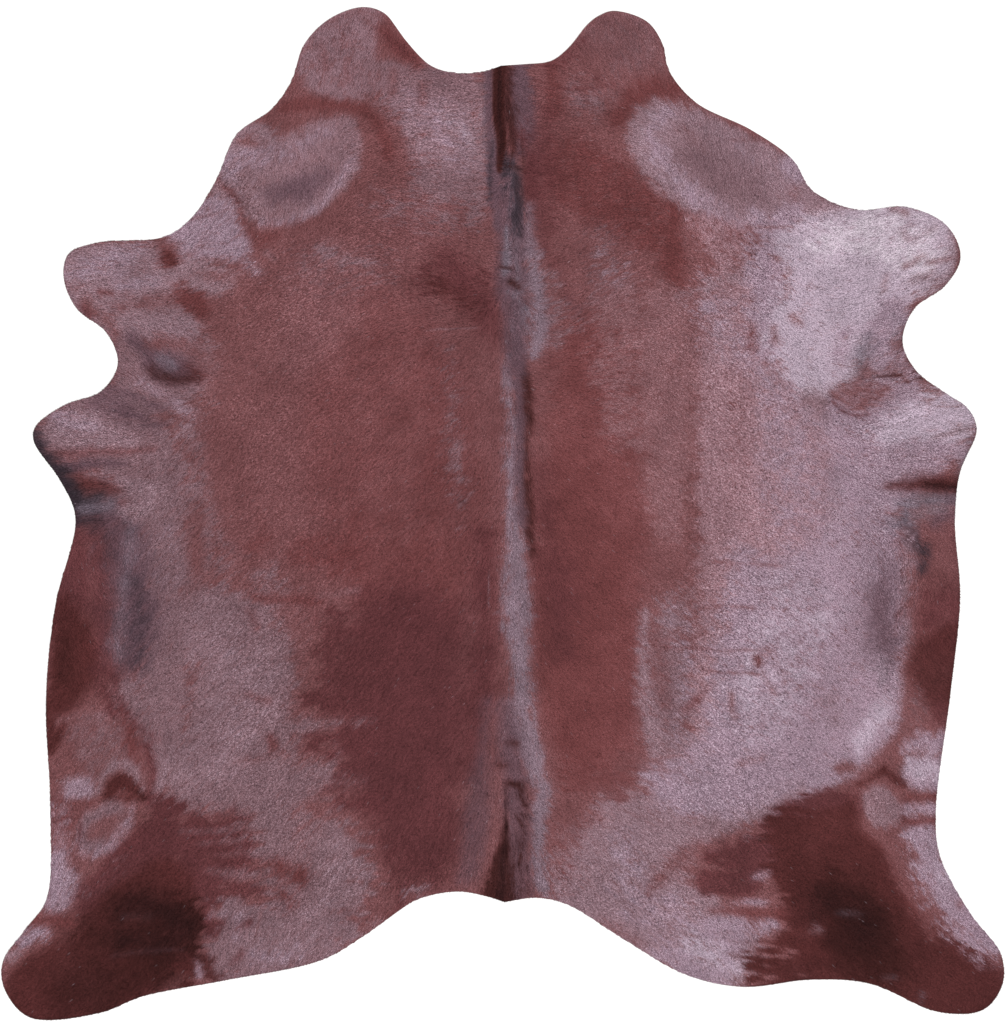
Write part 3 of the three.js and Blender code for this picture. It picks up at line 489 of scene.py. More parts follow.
# Right shoulder, foreleg, armpit and elbow. Its flush, ruddy, rose, mauve, lilac, pale lilac and glint rows
# are painted sheen, the glint rows its brightest highlight. The armpit dusk, slate and spot, the elbow
# wrinkles and the elbow fold with its black, slate and under rows are painted shade.
rightForeMarks = [
    ("shoulder base", "flush", "field", 0.85, [(54, 42, 11), (54, 28, 13), (56, 14, 14), (58, 2, 12)]),
    ("shoulder base, left", "flush", "field", 0.75, [(46, 43, 4), (46, 24, 6), (46, 2, 5)]),
    ("shoulder base, rim", "flush", "wash", 0.8, [(43.6, 47, 2), (43.6, 38, 3), (45, 28, 3)]),
    ("rib glow", "ruddy", "field", 0.8, [(34, 42, 6), (35, 34, 7), (35, 20, 6.4), (35, 8, 5), (36, -3, 2.6)]),
    ("back glow", "ruddy", "field", 0.6, [(25, 42, 5), (25, 34, 6), (26, 18, 5)]),
    ("shoulder sheen speckle", "lilac", "field", 0.5,
     [(44, 47, 3), (46, 38, 5), (58, 30, 8), (66, 10, 13), (70, -4, 14)]),
    ("shoulder sheen speckle, brown", "redBrown", "field", 0.25, [(49, 30, 3), (50, 18, 4), (48, 2, 3)]),
    ("shoulder wedge", "flush", "field", 0.65, [(43, 61, 3), (47, 57, 5), (50, 52, 5)]),
    ("shoulder band", "rose", "wash", 0.6, [(38, 45.4, 1), (46, 48, 1.8), (56, 51.6, 2.4)]),
    ("elbow base", "lilac", "wash", 0.85, [(79, 24, 6), (86, 16, 9), (82, 6, 6)]),
    ("elbow base, tip", "lilac", "wash", 0.8, [(90, 14, 2), (96.6, 13, 2.6)]),
    ("right foreleg", "paleLilac", "wash", 0.92, [(60, 56, 4), (67, 57, 7), (76, 55, 11), (86, 56, 10)]),
    ("right foreleg, left", "lilac", "field", 0.9, [(55, 55, 3), (56, 48, 4.4), (56.4, 36, 4)]),
    ("right foreleg root", "paleLilac", "field", 0.9, [(69, 50, 9), (67, 38, 11), (66, 30, 6)]),
    ("right foreleg, inner", "paleLilac", "wash", 0.85, [(80, 50, 8), (78, 43, 6)]),
    ("right foreleg bright", "glint", "field", 0.6, [(68, 57, 4), (76, 58, 6), (87, 56, 6.4)]),
    ("right foreleg notch", "rose", "wash", 0.8, [(65, 64.6, 2), (73, 64.6, 1.4)]),
    ("right foreleg under", "rose", "haze", 0.7, [(96, 51, 2), (93, 48.6, 2)]),
    ("right foreleg tip", "mauve", "wash", 0.6, [(94.4, 58, 1.2), (95.4, 52, 1.4)]),
    ("right foreleg edge", "redBrown", "fleck", 0.85, [(95.8, 57, 0.6), (96.4, 54, 0.9), (95.6, 51, 0.8)]),
    ("foreleg fleck 1", "brown", "patch", 0.6, [(84.6, 52, 0.5), (88.6, 54.2, 0.6)]),
    ("foreleg fleck 2", "brown", "patch", 0.6, [(89.6, 53, 0.6), (93.6, 53.6, 0.6)]),
    ("foreleg fleck 3", "brown", "patch", 0.5, [(80.6, 49.6, 0.5), (80.2, 46.6, 0.5)]),
    ("foreleg fleck 4", "mauve", "wash", 0.5, [(86, 48.6, 1), (91, 49.6, 1)]),
    ("foreleg fleck 5", "brown", "fleck", 0.6, [(81.8, 64, 0.7), (84.6, 63, 0.7)]),
    ("foreleg fleck 6", "rose", "patch", 0.6, [(84, 59, 0.8), (86, 57.4, 0.6), (91, 60, 0.6)]),
    ("mottle fleck 1", "brown", "patch", 0.7, [(61, 41.4, 0.7), (62.6, 40, 0.7)]),
    ("mottle fleck 2", "redBrown", "patch", 0.7, [(57, 39, 0.6), (57.4, 36, 0.7)]),
    ("mottle fleck 3", "redBrown", "wash", 0.6, [(52.6, 39, 1), (52.6, 35, 1.2)]),
    ("right armpit sheen", "lilac", "wash", 0.6, [(72, 38, 2), (71, 32, 2)]),
    ("right armpit rose", "lilac", "wash", 0.85, [(82, 42, 3.4), (79, 37, 3), (79, 32, 2)]),
    ("right armpit dusk", "slate", "haze", 0.35, [(81, 42, 1), (84, 38, 2), (83, 32, 1.6)]),
    ("right armpit slate", "slate", "shade", 0.75, [(77, 36.4, 1.2), (75.4, 33, 1.8), (75, 30.6, 1.2)]),
    ("right armpit spot", "slate", "fleck", 0.65, [(71.8, 27.2, 0.4), (73, 27.2, 0.5)]),
    ("right armpit strip", "mauve", "wash", 0.45, [(74, 28.8, 0.9), (80, 29.6, 1.2), (87, 30, 1)]),
    ("elbow bridge", "lilac", "wash", 0.55, [(82, 33, 2), (87, 28.6, 2.4)]),
    ("right elbow patch", "brown", "wash", 0.65, [(70.6, 25.4, 1.6), (75, 24.4, 3.6), (80, 26, 2)]),
    ("right elbow patch, left", "mauve", "wash", 0.6, [(64.6, 24, 2), (67.6, 22.4, 2)]),
    ("right elbow patch rim", "deepBrown", "line", 0.65,
     [(69.2, 25.6, 0.2), (70.2, 22.6, 0.25), (74.4, 20.6, 0.25), (77, 20.8, 0.2)]),
    ("right elbow wrinkle 1", "darkMaroon", "line", 0.7,
     [(76.6, 28.4, 0.18), (85, 29.6, 0.2), (87.6, 29.6, 0.15)]),
    ("right elbow wrinkle 2", "darkMaroon", "line", 0.7, [(84.2, 27.6, 0.15), (88.6, 28.5, 0.18)]),
    ("right elbow", "paleLilac", "wash", 0.8, [(80, 16, 2.4), (86, 19, 4.6), (95, 20, 5)]),
    ("right elbow bright", "paleLilac", "wash", 0.6, [(75.6, 17.6, 1), (84, 20, 2), (94, 22, 2.4)]),
    ("right elbow tip", "paleLilac", "wash", 0.6, [(89, 24.6, 2), (93, 24.4, 2.4), (97, 21, 3)]),
    ("right elbow bar", "mauve", "fleck", 0.6, [(90.4, 15.8, 0.5), (97.6, 17.8, 0.5)]),
    ("right elbow rim", "slate", "shade", 0.6, [(99.6, 16, 0.8), (98, 12, 1.4), (96.4, 8.6, 1.2)]),
    ("right elbow fold", "maroon", "shade", 0.95, [(81, 5.8, 0.6), (86, 6, 1.6), (91, 6, 2), (97, 5.8, 2)]),
    ("right elbow black", "nearBlack", "fleck", 0.6, [(89, 5.8, 0.8), (96, 5.4, 1)]),
    ("right elbow slate", "slate", "shade", 0.9, [(83, 2.2, 1.2), (88, 2.4, 1.6), (96, 2.6, 1.4)]),
    ("right elbow slate, low", "slate", "shade", 0.6, [(82, -2, 1.8), (88, -0.6, 1.6), (93, 0.6, 0.8)]),
    ("right elbow under", "ash", "shade", 0.7, [(93, 3.6, 0.8), (95.4, 0, 1.2), (91, -2, 1.2)]),
    ("right elbow low gleam", "lilac", "wash", 0.7, [(74, 5, 2), (78, 3, 1.6), (82, 2, 1)]),
]

# Right side and flank, with the border of the loin. Its flush, mauve, rose, heather, lilac and pale lilac
# rows are painted sheen. The wrinkles are painted shade in the side's creases, and the whorl's ash, navy and
# maroon rows the painted shade of the fold along it.
rightFlankMarks = [
    ("side base", "flush", "field", 0.9, [(49, 10, 6), (47.6, -12, 7), (46, -34, 7), (46, -50, 8)]),
    ("side light, inner", "lilac", "field", 0.6, [(46, -20, 3), (46, -32, 4), (46, -42, 4)]),
    ("side field", "lilac", "field", 0.85,
     [(66, 20, 11), (66, 0, 17), (66, -20, 20), (62, -38, 19), (56, -50, 14)]),
    ("side field, low", "lilac", "wash", 0.85,
     [(79, -37, 6), (75, -46, 7), (60, -54, 8), (46, -58, 7), (35, -58, 4)]),
    ("side field, corner", "lilac", "wash", 0.8, [(31, -54.6, 2.4), (38, -52, 3.4), (46, -48, 4)]),
    ("side field, foot", "lilac", "wash", 0.6, [(55, -56.6, 1.4), (66, -55, 1.4)]),
    ("side field, pale", "paleLilac", "field", 0.46, [(68, 4, 5), (65, -14, 9), (58, -32, 8), (54, -44, 6)]),
    ("side bright", "paleLilac", "field", 0.4, [(46, -36, 2), (48, -42, 3)]),
    ("side dusk", "flush", "field", 0.85, [(54, 20, 4), (61, 11, 3.4), (54, 1, 3.4)]),
    ("side mottle", "brown", "wash", 0.3, [(46, 0, 1.6), (48, -12, 2)]),
    ("rib dusk", "brown", "field", 0.35, [(39, -5, 2), (38.6, -12, 2.4), (33, -20, 2)]),
    ("loin mix", "mauve", "field", 0.8, [(36, -20, 4), (35.4, -32, 5), (35.4, -46, 5)]),
    ("loin gleam", "lilac", "field", 0.4, [(36, -20, 3), (39, -32, 3), (37, -46, 3)]),
    ("loin mottle", "redBrown", "wash", 0.45, [(33, -26, 1.4), (34, -40, 1.8)]),
    ("loin strip", "rose", "wash", 0.8, [(30, -20, 0.9), (29.8, -34, 1.3), (30.6, -43, 2), (33, -50, 2.4)]),
    ("loin dark streak", "redBrown", "wash", 0.5, [(45, -36, 0.8), (38, -41.6, 1)]),
    ("loin hem", "brown", "torn", 0.6, [(27, -53, 2), (36, -54, 1.6)]),
    ("wrinkle 1", "redBrown", "line", 0.6, [(44, -10.2, 0.22), (57, -10.9, 0.25), (61, -10.6, 0.2)]),
    ("wrinkle 2", "redBrown", "line", 0.3, [(50, -15.4, 0.25), (59, -15.8, 0.2)]),
    ("wrinkle 3", "redBrown", "line", 0.6, [(41, -19.8, 0.25), (53, -19.8, 0.2)]),
    ("wrinkle 4", "redBrown", "line", 0.6, [(34, -28, 0.22), (42, -28.6, 0.25), (56.4, -28.8, 0.2)]),
    ("wrinkle 5", "redBrown", "line", 0.65, [(41, -32.8, 0.2), (47, -33.6, 0.25), (54, -33.6, 0.25)]),
    ("wrinkle 6", "redBrown", "line", 0.4, [(30, -26.2, 0.2), (39, -26.8, 0.22)]),
    ("side spot", "redBrown", "patch", 0.85, [(53.8, -30.8, 0.7), (54.2, -31.8, 0.6)]),
    ("side spot tail", "brown", "fleck", 0.6, [(55, -33.4, 0.3), (57.4, -38, 0.4)]),
    ("side fleck 1", "brown", "patch", 0.7, [(48.2, -38, 0.6), (48.6, -43, 0.6)]),
    ("side fleck 2", "brown", "wash", 0.5, [(50, -53, 1), (54.6, -51.6, 1)]),
    ("side fleck 3", "mauve", "wash", 0.5, [(69, -38, 1.2), (70, -44, 1.2)]),
    ("right whorl", "ash", "haze", 0.6, [(82, 0, 2), (80.6, -14, 4), (80, -27, 4)]),
    ("right whorl dark", "ash", "shade", 0.6, [(79.4, -14, 1.4), (79.4, -22, 2), (81.4, -30, 1.6)]),
    ("right whorl dark, top", "navy", "wash", 0.7,
     [(84.4, 0, 1), (85.6, -5, 1.6), (88, -8, 1.4), (88.4, -12, 0.9)]),
    ("bright hollow", "paleLilac", "wash", 0.75, [(80.4, -39, 1.6), (78, -44, 2.6), (75, -49, 2)]),
    ("bright hollow, core", "brown", "wash", 0.6, [(86, -35, 1.8), (85.4, -40, 1.6)]),
    ("right whorl foot", "heather", "wash", 0.8, [(80, -31, 1.6), (80, -35, 1.4)]),
    ("right edge", "brown", "wash", 0.9, [(94, -6, 1.6), (94, -14, 4.4), (92, -24, 6), (91, -40, 5)]),
    ("right edge, middle", "deepBrown", "haze", 0.9,
     [(92, -18, 2.6), (90.4, -22, 3), (95, -20, 3), (93, -27, 3.4)]),
    ("right edge, low", "maroon", "shade", 0.75, [(94, -26, 3), (91, -31, 5.6), (92, -38, 4)]),
    ("right edge, darkest", "maroon", "wash", 0.3, [(94.4, -34, 1), (92, -42, 1.2)]),
    ("right edge, mauve", "mauve", "wash", 0.3, [(86.6, -36, 1.2), (88, -42, 1.8), (85, -46, 1.2)]),
    ("right edge, foot", "deepBrown", "wash", 0.7, [(92, -41, 2), (91.6, -44, 1.2)]),
    ("right whorl brush", "mauve", "wash", 0.55,
     [(85, -4, 1.2), (85.4, -12, 1.4), (84.4, -20, 1.2), (85.4, -28, 0.9)]),
    ("right whorl pocket", "maroon", "fleck", 0.5, [(83.6, -20, 0.7), (82.6, -22, 0.7)]),
]

# Right stifle, thigh, rump and hind leg. Its rose, mauve, lilac and pale lilac rows are painted sheen. The
# knee lines, the stifle vee and the edge bars are painted shade in the folds and wrinkles of the stifle and
# leg.
rightRumpMarks = [
    ("rump field", "rose", "field", 0.85, [(24, -62, 5), (32, -68, 9), (24, -74, 12), (20, -82, 10)]),
    ("rump field, low", "rose", "field", 0.9, [(20, -84, 6), (34, -86, 10), (46, -92, 9)]),
    ("rump field gleam", "lilac", "field", 0.5, [(26, -70, 4), (28, -80, 4), (36, -86, 6), (46, -92, 6)]),
    ("rump field pale", "paleLilac", "field", 0.65, [(41, -91, 4), (46, -96, 4)]),
    ("rump field top", "lilac", "field", 0.8, [(36, -58, 4), (44, -60, 5), (54, -58, 4)]),
    ("rump field, wedge top", "rose", "wash", 0.9,
     [(32, -69, 3), (40, -67, 3), (50, -64, 2.4), (62, -58, 2)]),
    ("rump streaks", "redBrown", "torn", 0.6, [(14, -55, 3), (24, -57, 3)]),
    ("rump streaks, low", "redBrown", "field", 0.4, [(20, -64, 2), (15, -69, 2.6), (14, -75, 2.6)]),
    ("right rump edge", "lilac", "wash", 0.75, [(32, -92.4, 1.4), (38, -95, 2.2), (46, -98.4, 2)]),
    ("rump rim", "brown", "wash", 0.55, [(21, -86, 1), (25, -88, 1.4), (29, -90, 1)]),
    ("right stifle band", "brown", "wash", 0.85, [(76.4, -54.4, 1.8), (80, -52, 2.2), (82.6, -49, 1.6)]),
    ("right stifle speckle", "lilac", "wash", 0.8, [(86.4, -49, 2), (92, -48.6, 2.4)]),
    ("right stifle block", "lilac", "patch", 0.95, [(87.8, -55, 3.6), (92, -55, 3.8)]),
    ("right stifle block, pale", "paleLilac", "wash", 0.7, [(87.6, -54, 2.4), (92, -54.4, 2.6)]),
    ("right hind leg wedge", "deepBrown", "torn", 0.85,
     [(44, -72.6, 2), (51, -71.6, 3.8), (58, -70, 6.2), (63, -69.6, 7.8)]),
    ("right hind leg", "maroon", "shade", 0.97,
     [(73, -61, 2), (68, -69.6, 8), (72, -80, 12), (80, -92, 12), (98, -100, 8)]),
    ("right hind leg, top", "deepBrown", "wash", 0.9, [(60, -63, 2), (68, -60.4, 2.4), (73, -59, 1.6)]),
    ("right hind leg, inner", "maroon", "torn", 0.85, [(61, -68, 6), (62, -77, 5), (64, -90, 4)]),
    ("right hind leg, foot", "maroon", "torn", 0.9, [(53, -97.6, 1.6), (62, -95, 4), (66, -95, 5)]),
    ("wedge streak 1", "rose", "wash", 0.6, [(35.6, -77.4, 1.4), (39, -77.6, 1.4)]),
    ("wedge tail", "deepBrown", "patch", 0.8, [(43.4, -77.6, 2.8), (52, -77.8, 3)]),
    ("wedge hole", "lilac", "patch", 0.6, [(52.8, -77, 0.6), (55.2, -76.2, 1.2)]),
    ("wedge hollow", "brown", "wash", 0.6, [(41, -70, 1.6), (37, -73, 2.2), (32.8, -77.6, 1.4)]),
    ("wedge streak 2", "lilac", "patch", 0.7, [(48, -81.8, 0.4), (52, -81.8, 0.7), (55.6, -81.6, 0.5)]),
    ("wedge streak 3", "lilac", "wash", 0.8, [(44, -87, 2.6), (51, -87.4, 2.2), (57, -86.4, 1.4)]),
    ("wedge streak 4", "redBrown", "patch", 0.75, [(44, -83.2, 0.4), (50, -83.7, 0.9), (60, -83.6, 0.9)]),
    ("wedge mottle", "mauve", "torn", 0.4, [(44, -68, 2), (52, -66, 1.6)]),
    ("wedge top rim", "lilac", "wash", 0.7, [(47, -63.8, 1.4), (55, -60.4, 1.2), (62, -57, 1.2)]),
    ("right hind leg core", "darkMaroon", "haze", 0.9, [(70, -80, 5), (75, -88, 8), (80, -95, 6)]),
    ("right hind leg black", "nearBlack", "haze", 0.55, [(65, -84, 2), (70, -82, 3), (76, -88, 4)]),
    ("right hind leg glow", "redBrown", "haze", 0.35, [(70, -65, 3), (64, -70, 3)]),
    ("right hind leg slate", "slate", "patch", 0.35, [(71.4, -84.2, 0.8), (74.4, -84.6, 0.8)]),
    ("hind fleck 1", "rose", "wash", 0.6, [(63, -89, 1.2), (66, -87.6, 1)]),
    ("hind fleck 2", "maroon", "shreds", 0.8, [(53, -94.6, 1.6), (59, -92, 2.6), (62, -90, 2.6)]),
    ("hind fleck 3", "lilac", "wash", 0.5, [(50, -90.6, 1.4), (46.6, -94, 1)]),
    ("hind fleck 4", "slate", "patch", 0.5, [(80, -98, 0.5), (82.4, -97.4, 0.6)]),
    ("hind fleck 5", "slate", "fleck", 0.5, [(88.4, -101, 0.5), (88, -103, 0.4)]),
    ("inner fleck 1", "brown", "wash", 0.6, [(31, -80, 1), (33, -77, 1)]),
    ("right leg haze", "brown", "wash", 0.65, [(83, -68, 3), (87, -78, 4), (92, -86, 4)]),
    ("right leg edge", "lilac", "field", 0.95,
     [(88.8, -68, 3.8), (91.8, -76, 4), (96.6, -84.4, 4.4), (104, -91, 2.8)]),
    ("right leg edge, pale", "paleLilac", "wash", 0.6, [(92, -69, 1.6), (93.4, -77, 2)]),
    ("right knee", "rose", "patch", 0.8, [(78.4, -60.4, 3.2), (80.6, -62.6, 3.6)]),
    ("right knee, dusk", "mauve", "wash", 0.6, [(79, -59, 1.6), (81, -64, 1.6)]),
    ("right knee line, left", "deepBrown", "fleck", 0.75, [(74.8, -58.6, 0.4), (75.4, -63, 0.5)]),
    ("right knee line, right", "deepBrown", "line", 0.5, [(84.8, -60, 0.3), (84.6, -65.6, 0.3)]),
    ("right stifle vee, left", "maroon", "patch", 0.8, [(75, -57, 0.7), (80, -53.6, 0.6)]),
    ("right stifle vee, right", "maroon", "patch", 0.75, [(80, -53.6, 0.6), (84.6, -57.4, 0.8)]),
    ("right stifle tile", "brown", "patch", 0.85, [(71, -53.6, 1.2), (73.6, -53.4, 1)]),
    ("right edge bar 1", "redBrown", "patch", 0.8, [(85.4, -59.8, 0.7), (92, -59.6, 0.7)]),
    ("right edge gleam", "lilac", "patch", 0.8, [(85.6, -62.2, 1.2), (92, -62.2, 1.2)]),
    ("right edge bar 2", "redBrown", "patch", 0.8, [(85.6, -65, 0.7), (92, -64.6, 0.7)]),
    ("right leg edge fleck", "redBrown", "fleck", 0.6, [(95.4, -82.6, 0.5), (97, -81.8, 0.6)]),
]

# The coat's own markings with its painted sheen and painted shade, group by group.
markingsSheenAndShade = [baseMarks, leftFlankMarks, leftNeckMarks, leftForeMarks, leftRumpMarks, rightFlankMarks,
            rightNeckMarks, rightForeMarks, rightRumpMarks, backMarks]

# Clouds of random numbers: the points on each side of their lattice, and for those combed along the hair
# how many samples are averaged and what brings their swing back afterwards.
clouds = dict(lattice=256, samples=7, lift=1.9)

# The random fields behind the coat, each a sum of clouds: amount, cell, how far it is stretched across
# the hide, how far it is combed along the hair, and seed.
fields = {
    "streaks": [(0.7, 0.4, 1, 1.6, 11), (0.35, 1.3, 1, 0, 12)],
    "bends": [(1, 5, 1, 0, 18), (0.5, 2.4, 1, 0, 19)],
    "tears": [(0.7, 1, 4, 0, 24), (0.5, 0.45, 3, 0, 25)],
    "patches": [(0.6, 0.35, 1, 0.9, 14), (0.3, 0.8, 1, 0, 13), (0.25, 2, 1, 0, 20)],
    "shade": [(0.05, 7, 1, 0, 15), (0.04, 2.2, 1, 0, 16), (0.03, 0.3, 1, 1.5, 17)],
    "drift in x": [(0.4, 6, 1, 0, 21)],
    "drift in y": [(0.4, 6, 1, 0, 22), (0.15, 1.6, 1, 0, 23)],
}

# A stroke's soft border, wander and raggedness are at most these shares of its half width. It is worked
# out as far past its width as its border, its fields and its bends can reach. Where it breaks up, luck is
# a lock's own part in its chance, sharpness how fast it turns from none of the tone to all, and cutIn how
# soon it may at the outer border.
brush = dict(soft=1.2, wander=0.5, ragged=0.7, fieldReach=1.2, bendReach=1.5, luck=0.5, sharpness=2.4,
             cutIn=8)
mixGamma = 2.2  # tones are mixed as they look to the eye, not as light


# From 0 to 1 along a curve that is level at both ends: three times the square less twice the cube.
def smoothStep(share):
    return share * share * (3 - 2 * share)


# Smooth random numbers from -1 to 1: a square lattice of them, cell apart, blended with a smooth step in
# between.
def cloud(x, y, cell, seed):
    side = clouds["lattice"]
    lattice = np.random.default_rng(seed).uniform(-1, 1, (side, side))
    u, v = x / cell, y / cell
    i, j = np.floor(u).astype(int), np.floor(v).astype(int)
    s, t = smoothStep(u - i), smoothStep(v - j)
    i, j = i % side, j % side
    k, m = (i + 1) % side, (j + 1) % side
    low = lattice[i, j] * (1 - s) + lattice[k, j] * s
    high = lattice[i, m] * (1 - s) + lattice[k, m] * s
    return low * (1 - t) + high * t


# The way the tips point at each place: the rows' directions, each weighted by a bell of its own reach.
# Far from all of them a weak pull is left, outwards and towards the tail.
def lieOfHair(x, y, farPull=0.02):
    dx, dy = farPull * np.sign(x), np.full_like(x, -farPull)
    for _, (cx, cy), (tx, ty), reach in combing:
        bell = np.exp(-((x - cx) ** 2 + (y - cy) ** 2) / reach**2) / math.hypot(tx, ty)
        dx, dy = dx + bell * tx, dy + bell * ty
    size = np.hypot(dx, dy) + 1e-9
    return dx / size, dy / size


# Cloud drawn out along the hair: its mean over a few steps up and down the lie, within reach.
def combedCloud(x, y, dx, dy, cell, reach, seed):
    steps = np.linspace(-1, 1, clouds["samples"]) * reach
    return sum(cloud(x + dx * s, y + dy * s, cell, seed) for s in steps) / len(steps) * clouds["lift"]


# One random field: the sum of its clouds, each times its amount.
def field(name, x, y, dx, dy):
    total = np.zeros_like(x)
    for amount, cell, stretch, reach, seed in fields[name]:
        if reach:
            total += amount * combedCloud(x, y, dx, dy, cell, reach, seed)
        else:
            total += amount * cloud(x / stretch, y, cell, seed)
    return total


# The points with one more before the first and after the last, each as far out as its neighbour is in.
def withGuides(points):
    p = np.array(points, float)
    return np.concatenate([2 * p[:1] - p[1:2], p, 2 * p[-1:] - p[-2:-1]])


# Points of a smooth curve through the given ones: cubic pieces, each with the slope of its neighbours'
# chord.
def throughPoints(points, pieces=6):
    p = withGuides(points)
    a, b, c, d = (p[k:len(p) - 3 + k, None] for k in range(4))
    t = (np.arange(pieces) / pieces)[None, :, None]
    bent = (2 * a - 5 * b + 4 * c - d) * t**2 + (3 * b - a - 3 * c + d) * t**3
    curve = 0.5 * (2 * b + (c - a) * t + bent)
    return np.concatenate([curve.reshape(-1, p.shape[1]), p[-2:-1]])


# How far each place is outside a path's width, which changes evenly along each piece of it.
def outsideOf(x, y, path):
    away = np.full(len(x), np.inf)
    for (ax, ay, aw), (bx, by, bw) in zip(path[:-1], path[1:]):
        ex, ey = bx - ax, by - ay
        share = np.clip(((x - ax) * ex + (y - ay) * ey) / (ex * ex + ey * ey + 1e-12), 0, 1)
        width = aw + (bw - aw) * share
        away = np.minimum(away, np.hypot(x - ax - share * ex, y - ay - share * ey) - width)
    return away


# Distance of each place to a closed outline, below zero inside.
def distanceTo(x, y, outline):
    ring = np.append(outline, np.zeros((len(outline), 1)), axis=1)
    away = outsideOf(x, y, np.append(ring, ring[:1], axis=0))
    inside = np.zeros(len(x), bool)
    for (ax, ay), (bx, by) in zip(outline, np.roll(outline, -1, axis=0)):
        rise = by - ay if by != ay else 1e-12
        inside ^= ((ay > y) != (by > y)) & (x < ax + (y - ay) * (bx - ax) / rise)
    return np.where(inside, -away, away)


# An sRGB code as linear light: each channel divided by 12.92 where it is dark, and elsewhere moved up by
# 0.055, brought back to its range and raised to the power 2.4.
def linearTone(code):
    s = np.array([int(code[k:k + 2], 16) for k in (1, 3, 5)]) / 255
    return np.where(s <= 0.04045, s / 12.92, ((s + 0.055) / 1.055) ** 2.4)


# Colour of the coat at each place, as linear light: brown, then each marking, painted sheen and painted shade
# mixed in by a mask that falls from its amount inside to 0 outside over a soft border. Large bends, streaks
# along the hair and tears across the hide push that border to and fro. Where a stroke is broken, single locks
# take all of the tone or none of it: those whose chance, from 0 to 1, lies under the mask.
def coatColour(x, y, luck):
    lie = lieOfHair(x, y)
    streaks, bends, tears, patches, shade, driftX, driftY = (field(name, x, y, *lie) for name in fields)
    chance = 0.5 + 0.5 * np.clip(brush["luck"] * luck + patches, -1, 1)
    x, y = x + driftX, y + driftY
    colour = np.tile(linearTone(tones["brown"]) ** (1 / mixGamma), (len(x), 1))
    for _, tone, kind, amount, points in [mark for group in markingsSheenAndShade for mark in group]:
        path, stroke = throughPoints(points), strokes[kind]
        widest = path[:, 2].max()
        soft, wander, ragged = (min(stroke[key], brush[key] * widest) for key in ("soft", "wander", "ragged"))
        margin = soft + brush["fieldReach"] * (ragged + stroke["torn"]) + brush["bendReach"] * wander + widest
        low, high = path[:, :2].min(0) - margin, path[:, :2].max(0) + margin
        near = np.flatnonzero((x > low[0]) & (x < high[0]) & (y > low[1]) & (y < high[1]))
        if not len(near):
            continue
        push = ragged * streaks[near] + wander * bends[near] + stroke["torn"] * tears[near]
        away = outsideOf(x[near], y[near], path) + push
        mask = smoothStep(np.clip(0.5 - away / (2 * soft), 0, 1)) * amount
        single = np.clip(0.5 + brush["sharpness"] * (mask - chance[near]), 0, 1)
        single *= np.clip(mask * brush["cutIn"], 0, 1)
        mask += stroke["broken"] * (single - mask)
        colour[near] += mask[:, None] * (linearTone(tones[tone]) ** (1 / mixGamma) - colour[near])
    return np.clip(colour * (1 + shade)[:, None], 0, 1) ** mixGamma


# The sheet, in centimetres: where its backbone starts and ends and how far it bows to the right, how
# thick the sheet is with its coat and how deep the coat is, the least leather under the coat, the longest
# step between rows, the points across each half of its two faces, how much those below crowd towards the
# cut edge, and the height under which a fold is flat on the floor.
hide = dict(neckNotch=(-0.2, 94.0), tailNotch=(0.5, -81.7), backboneBow=2.6, backThickness=0.5,
            bellyThickness=0.38, coatDepth=0.2, leastLeather=0.08, rowStep=1.2, acrossTop=80, acrossUnder=28,
            crowding=1.8, fadeOut=0.025)

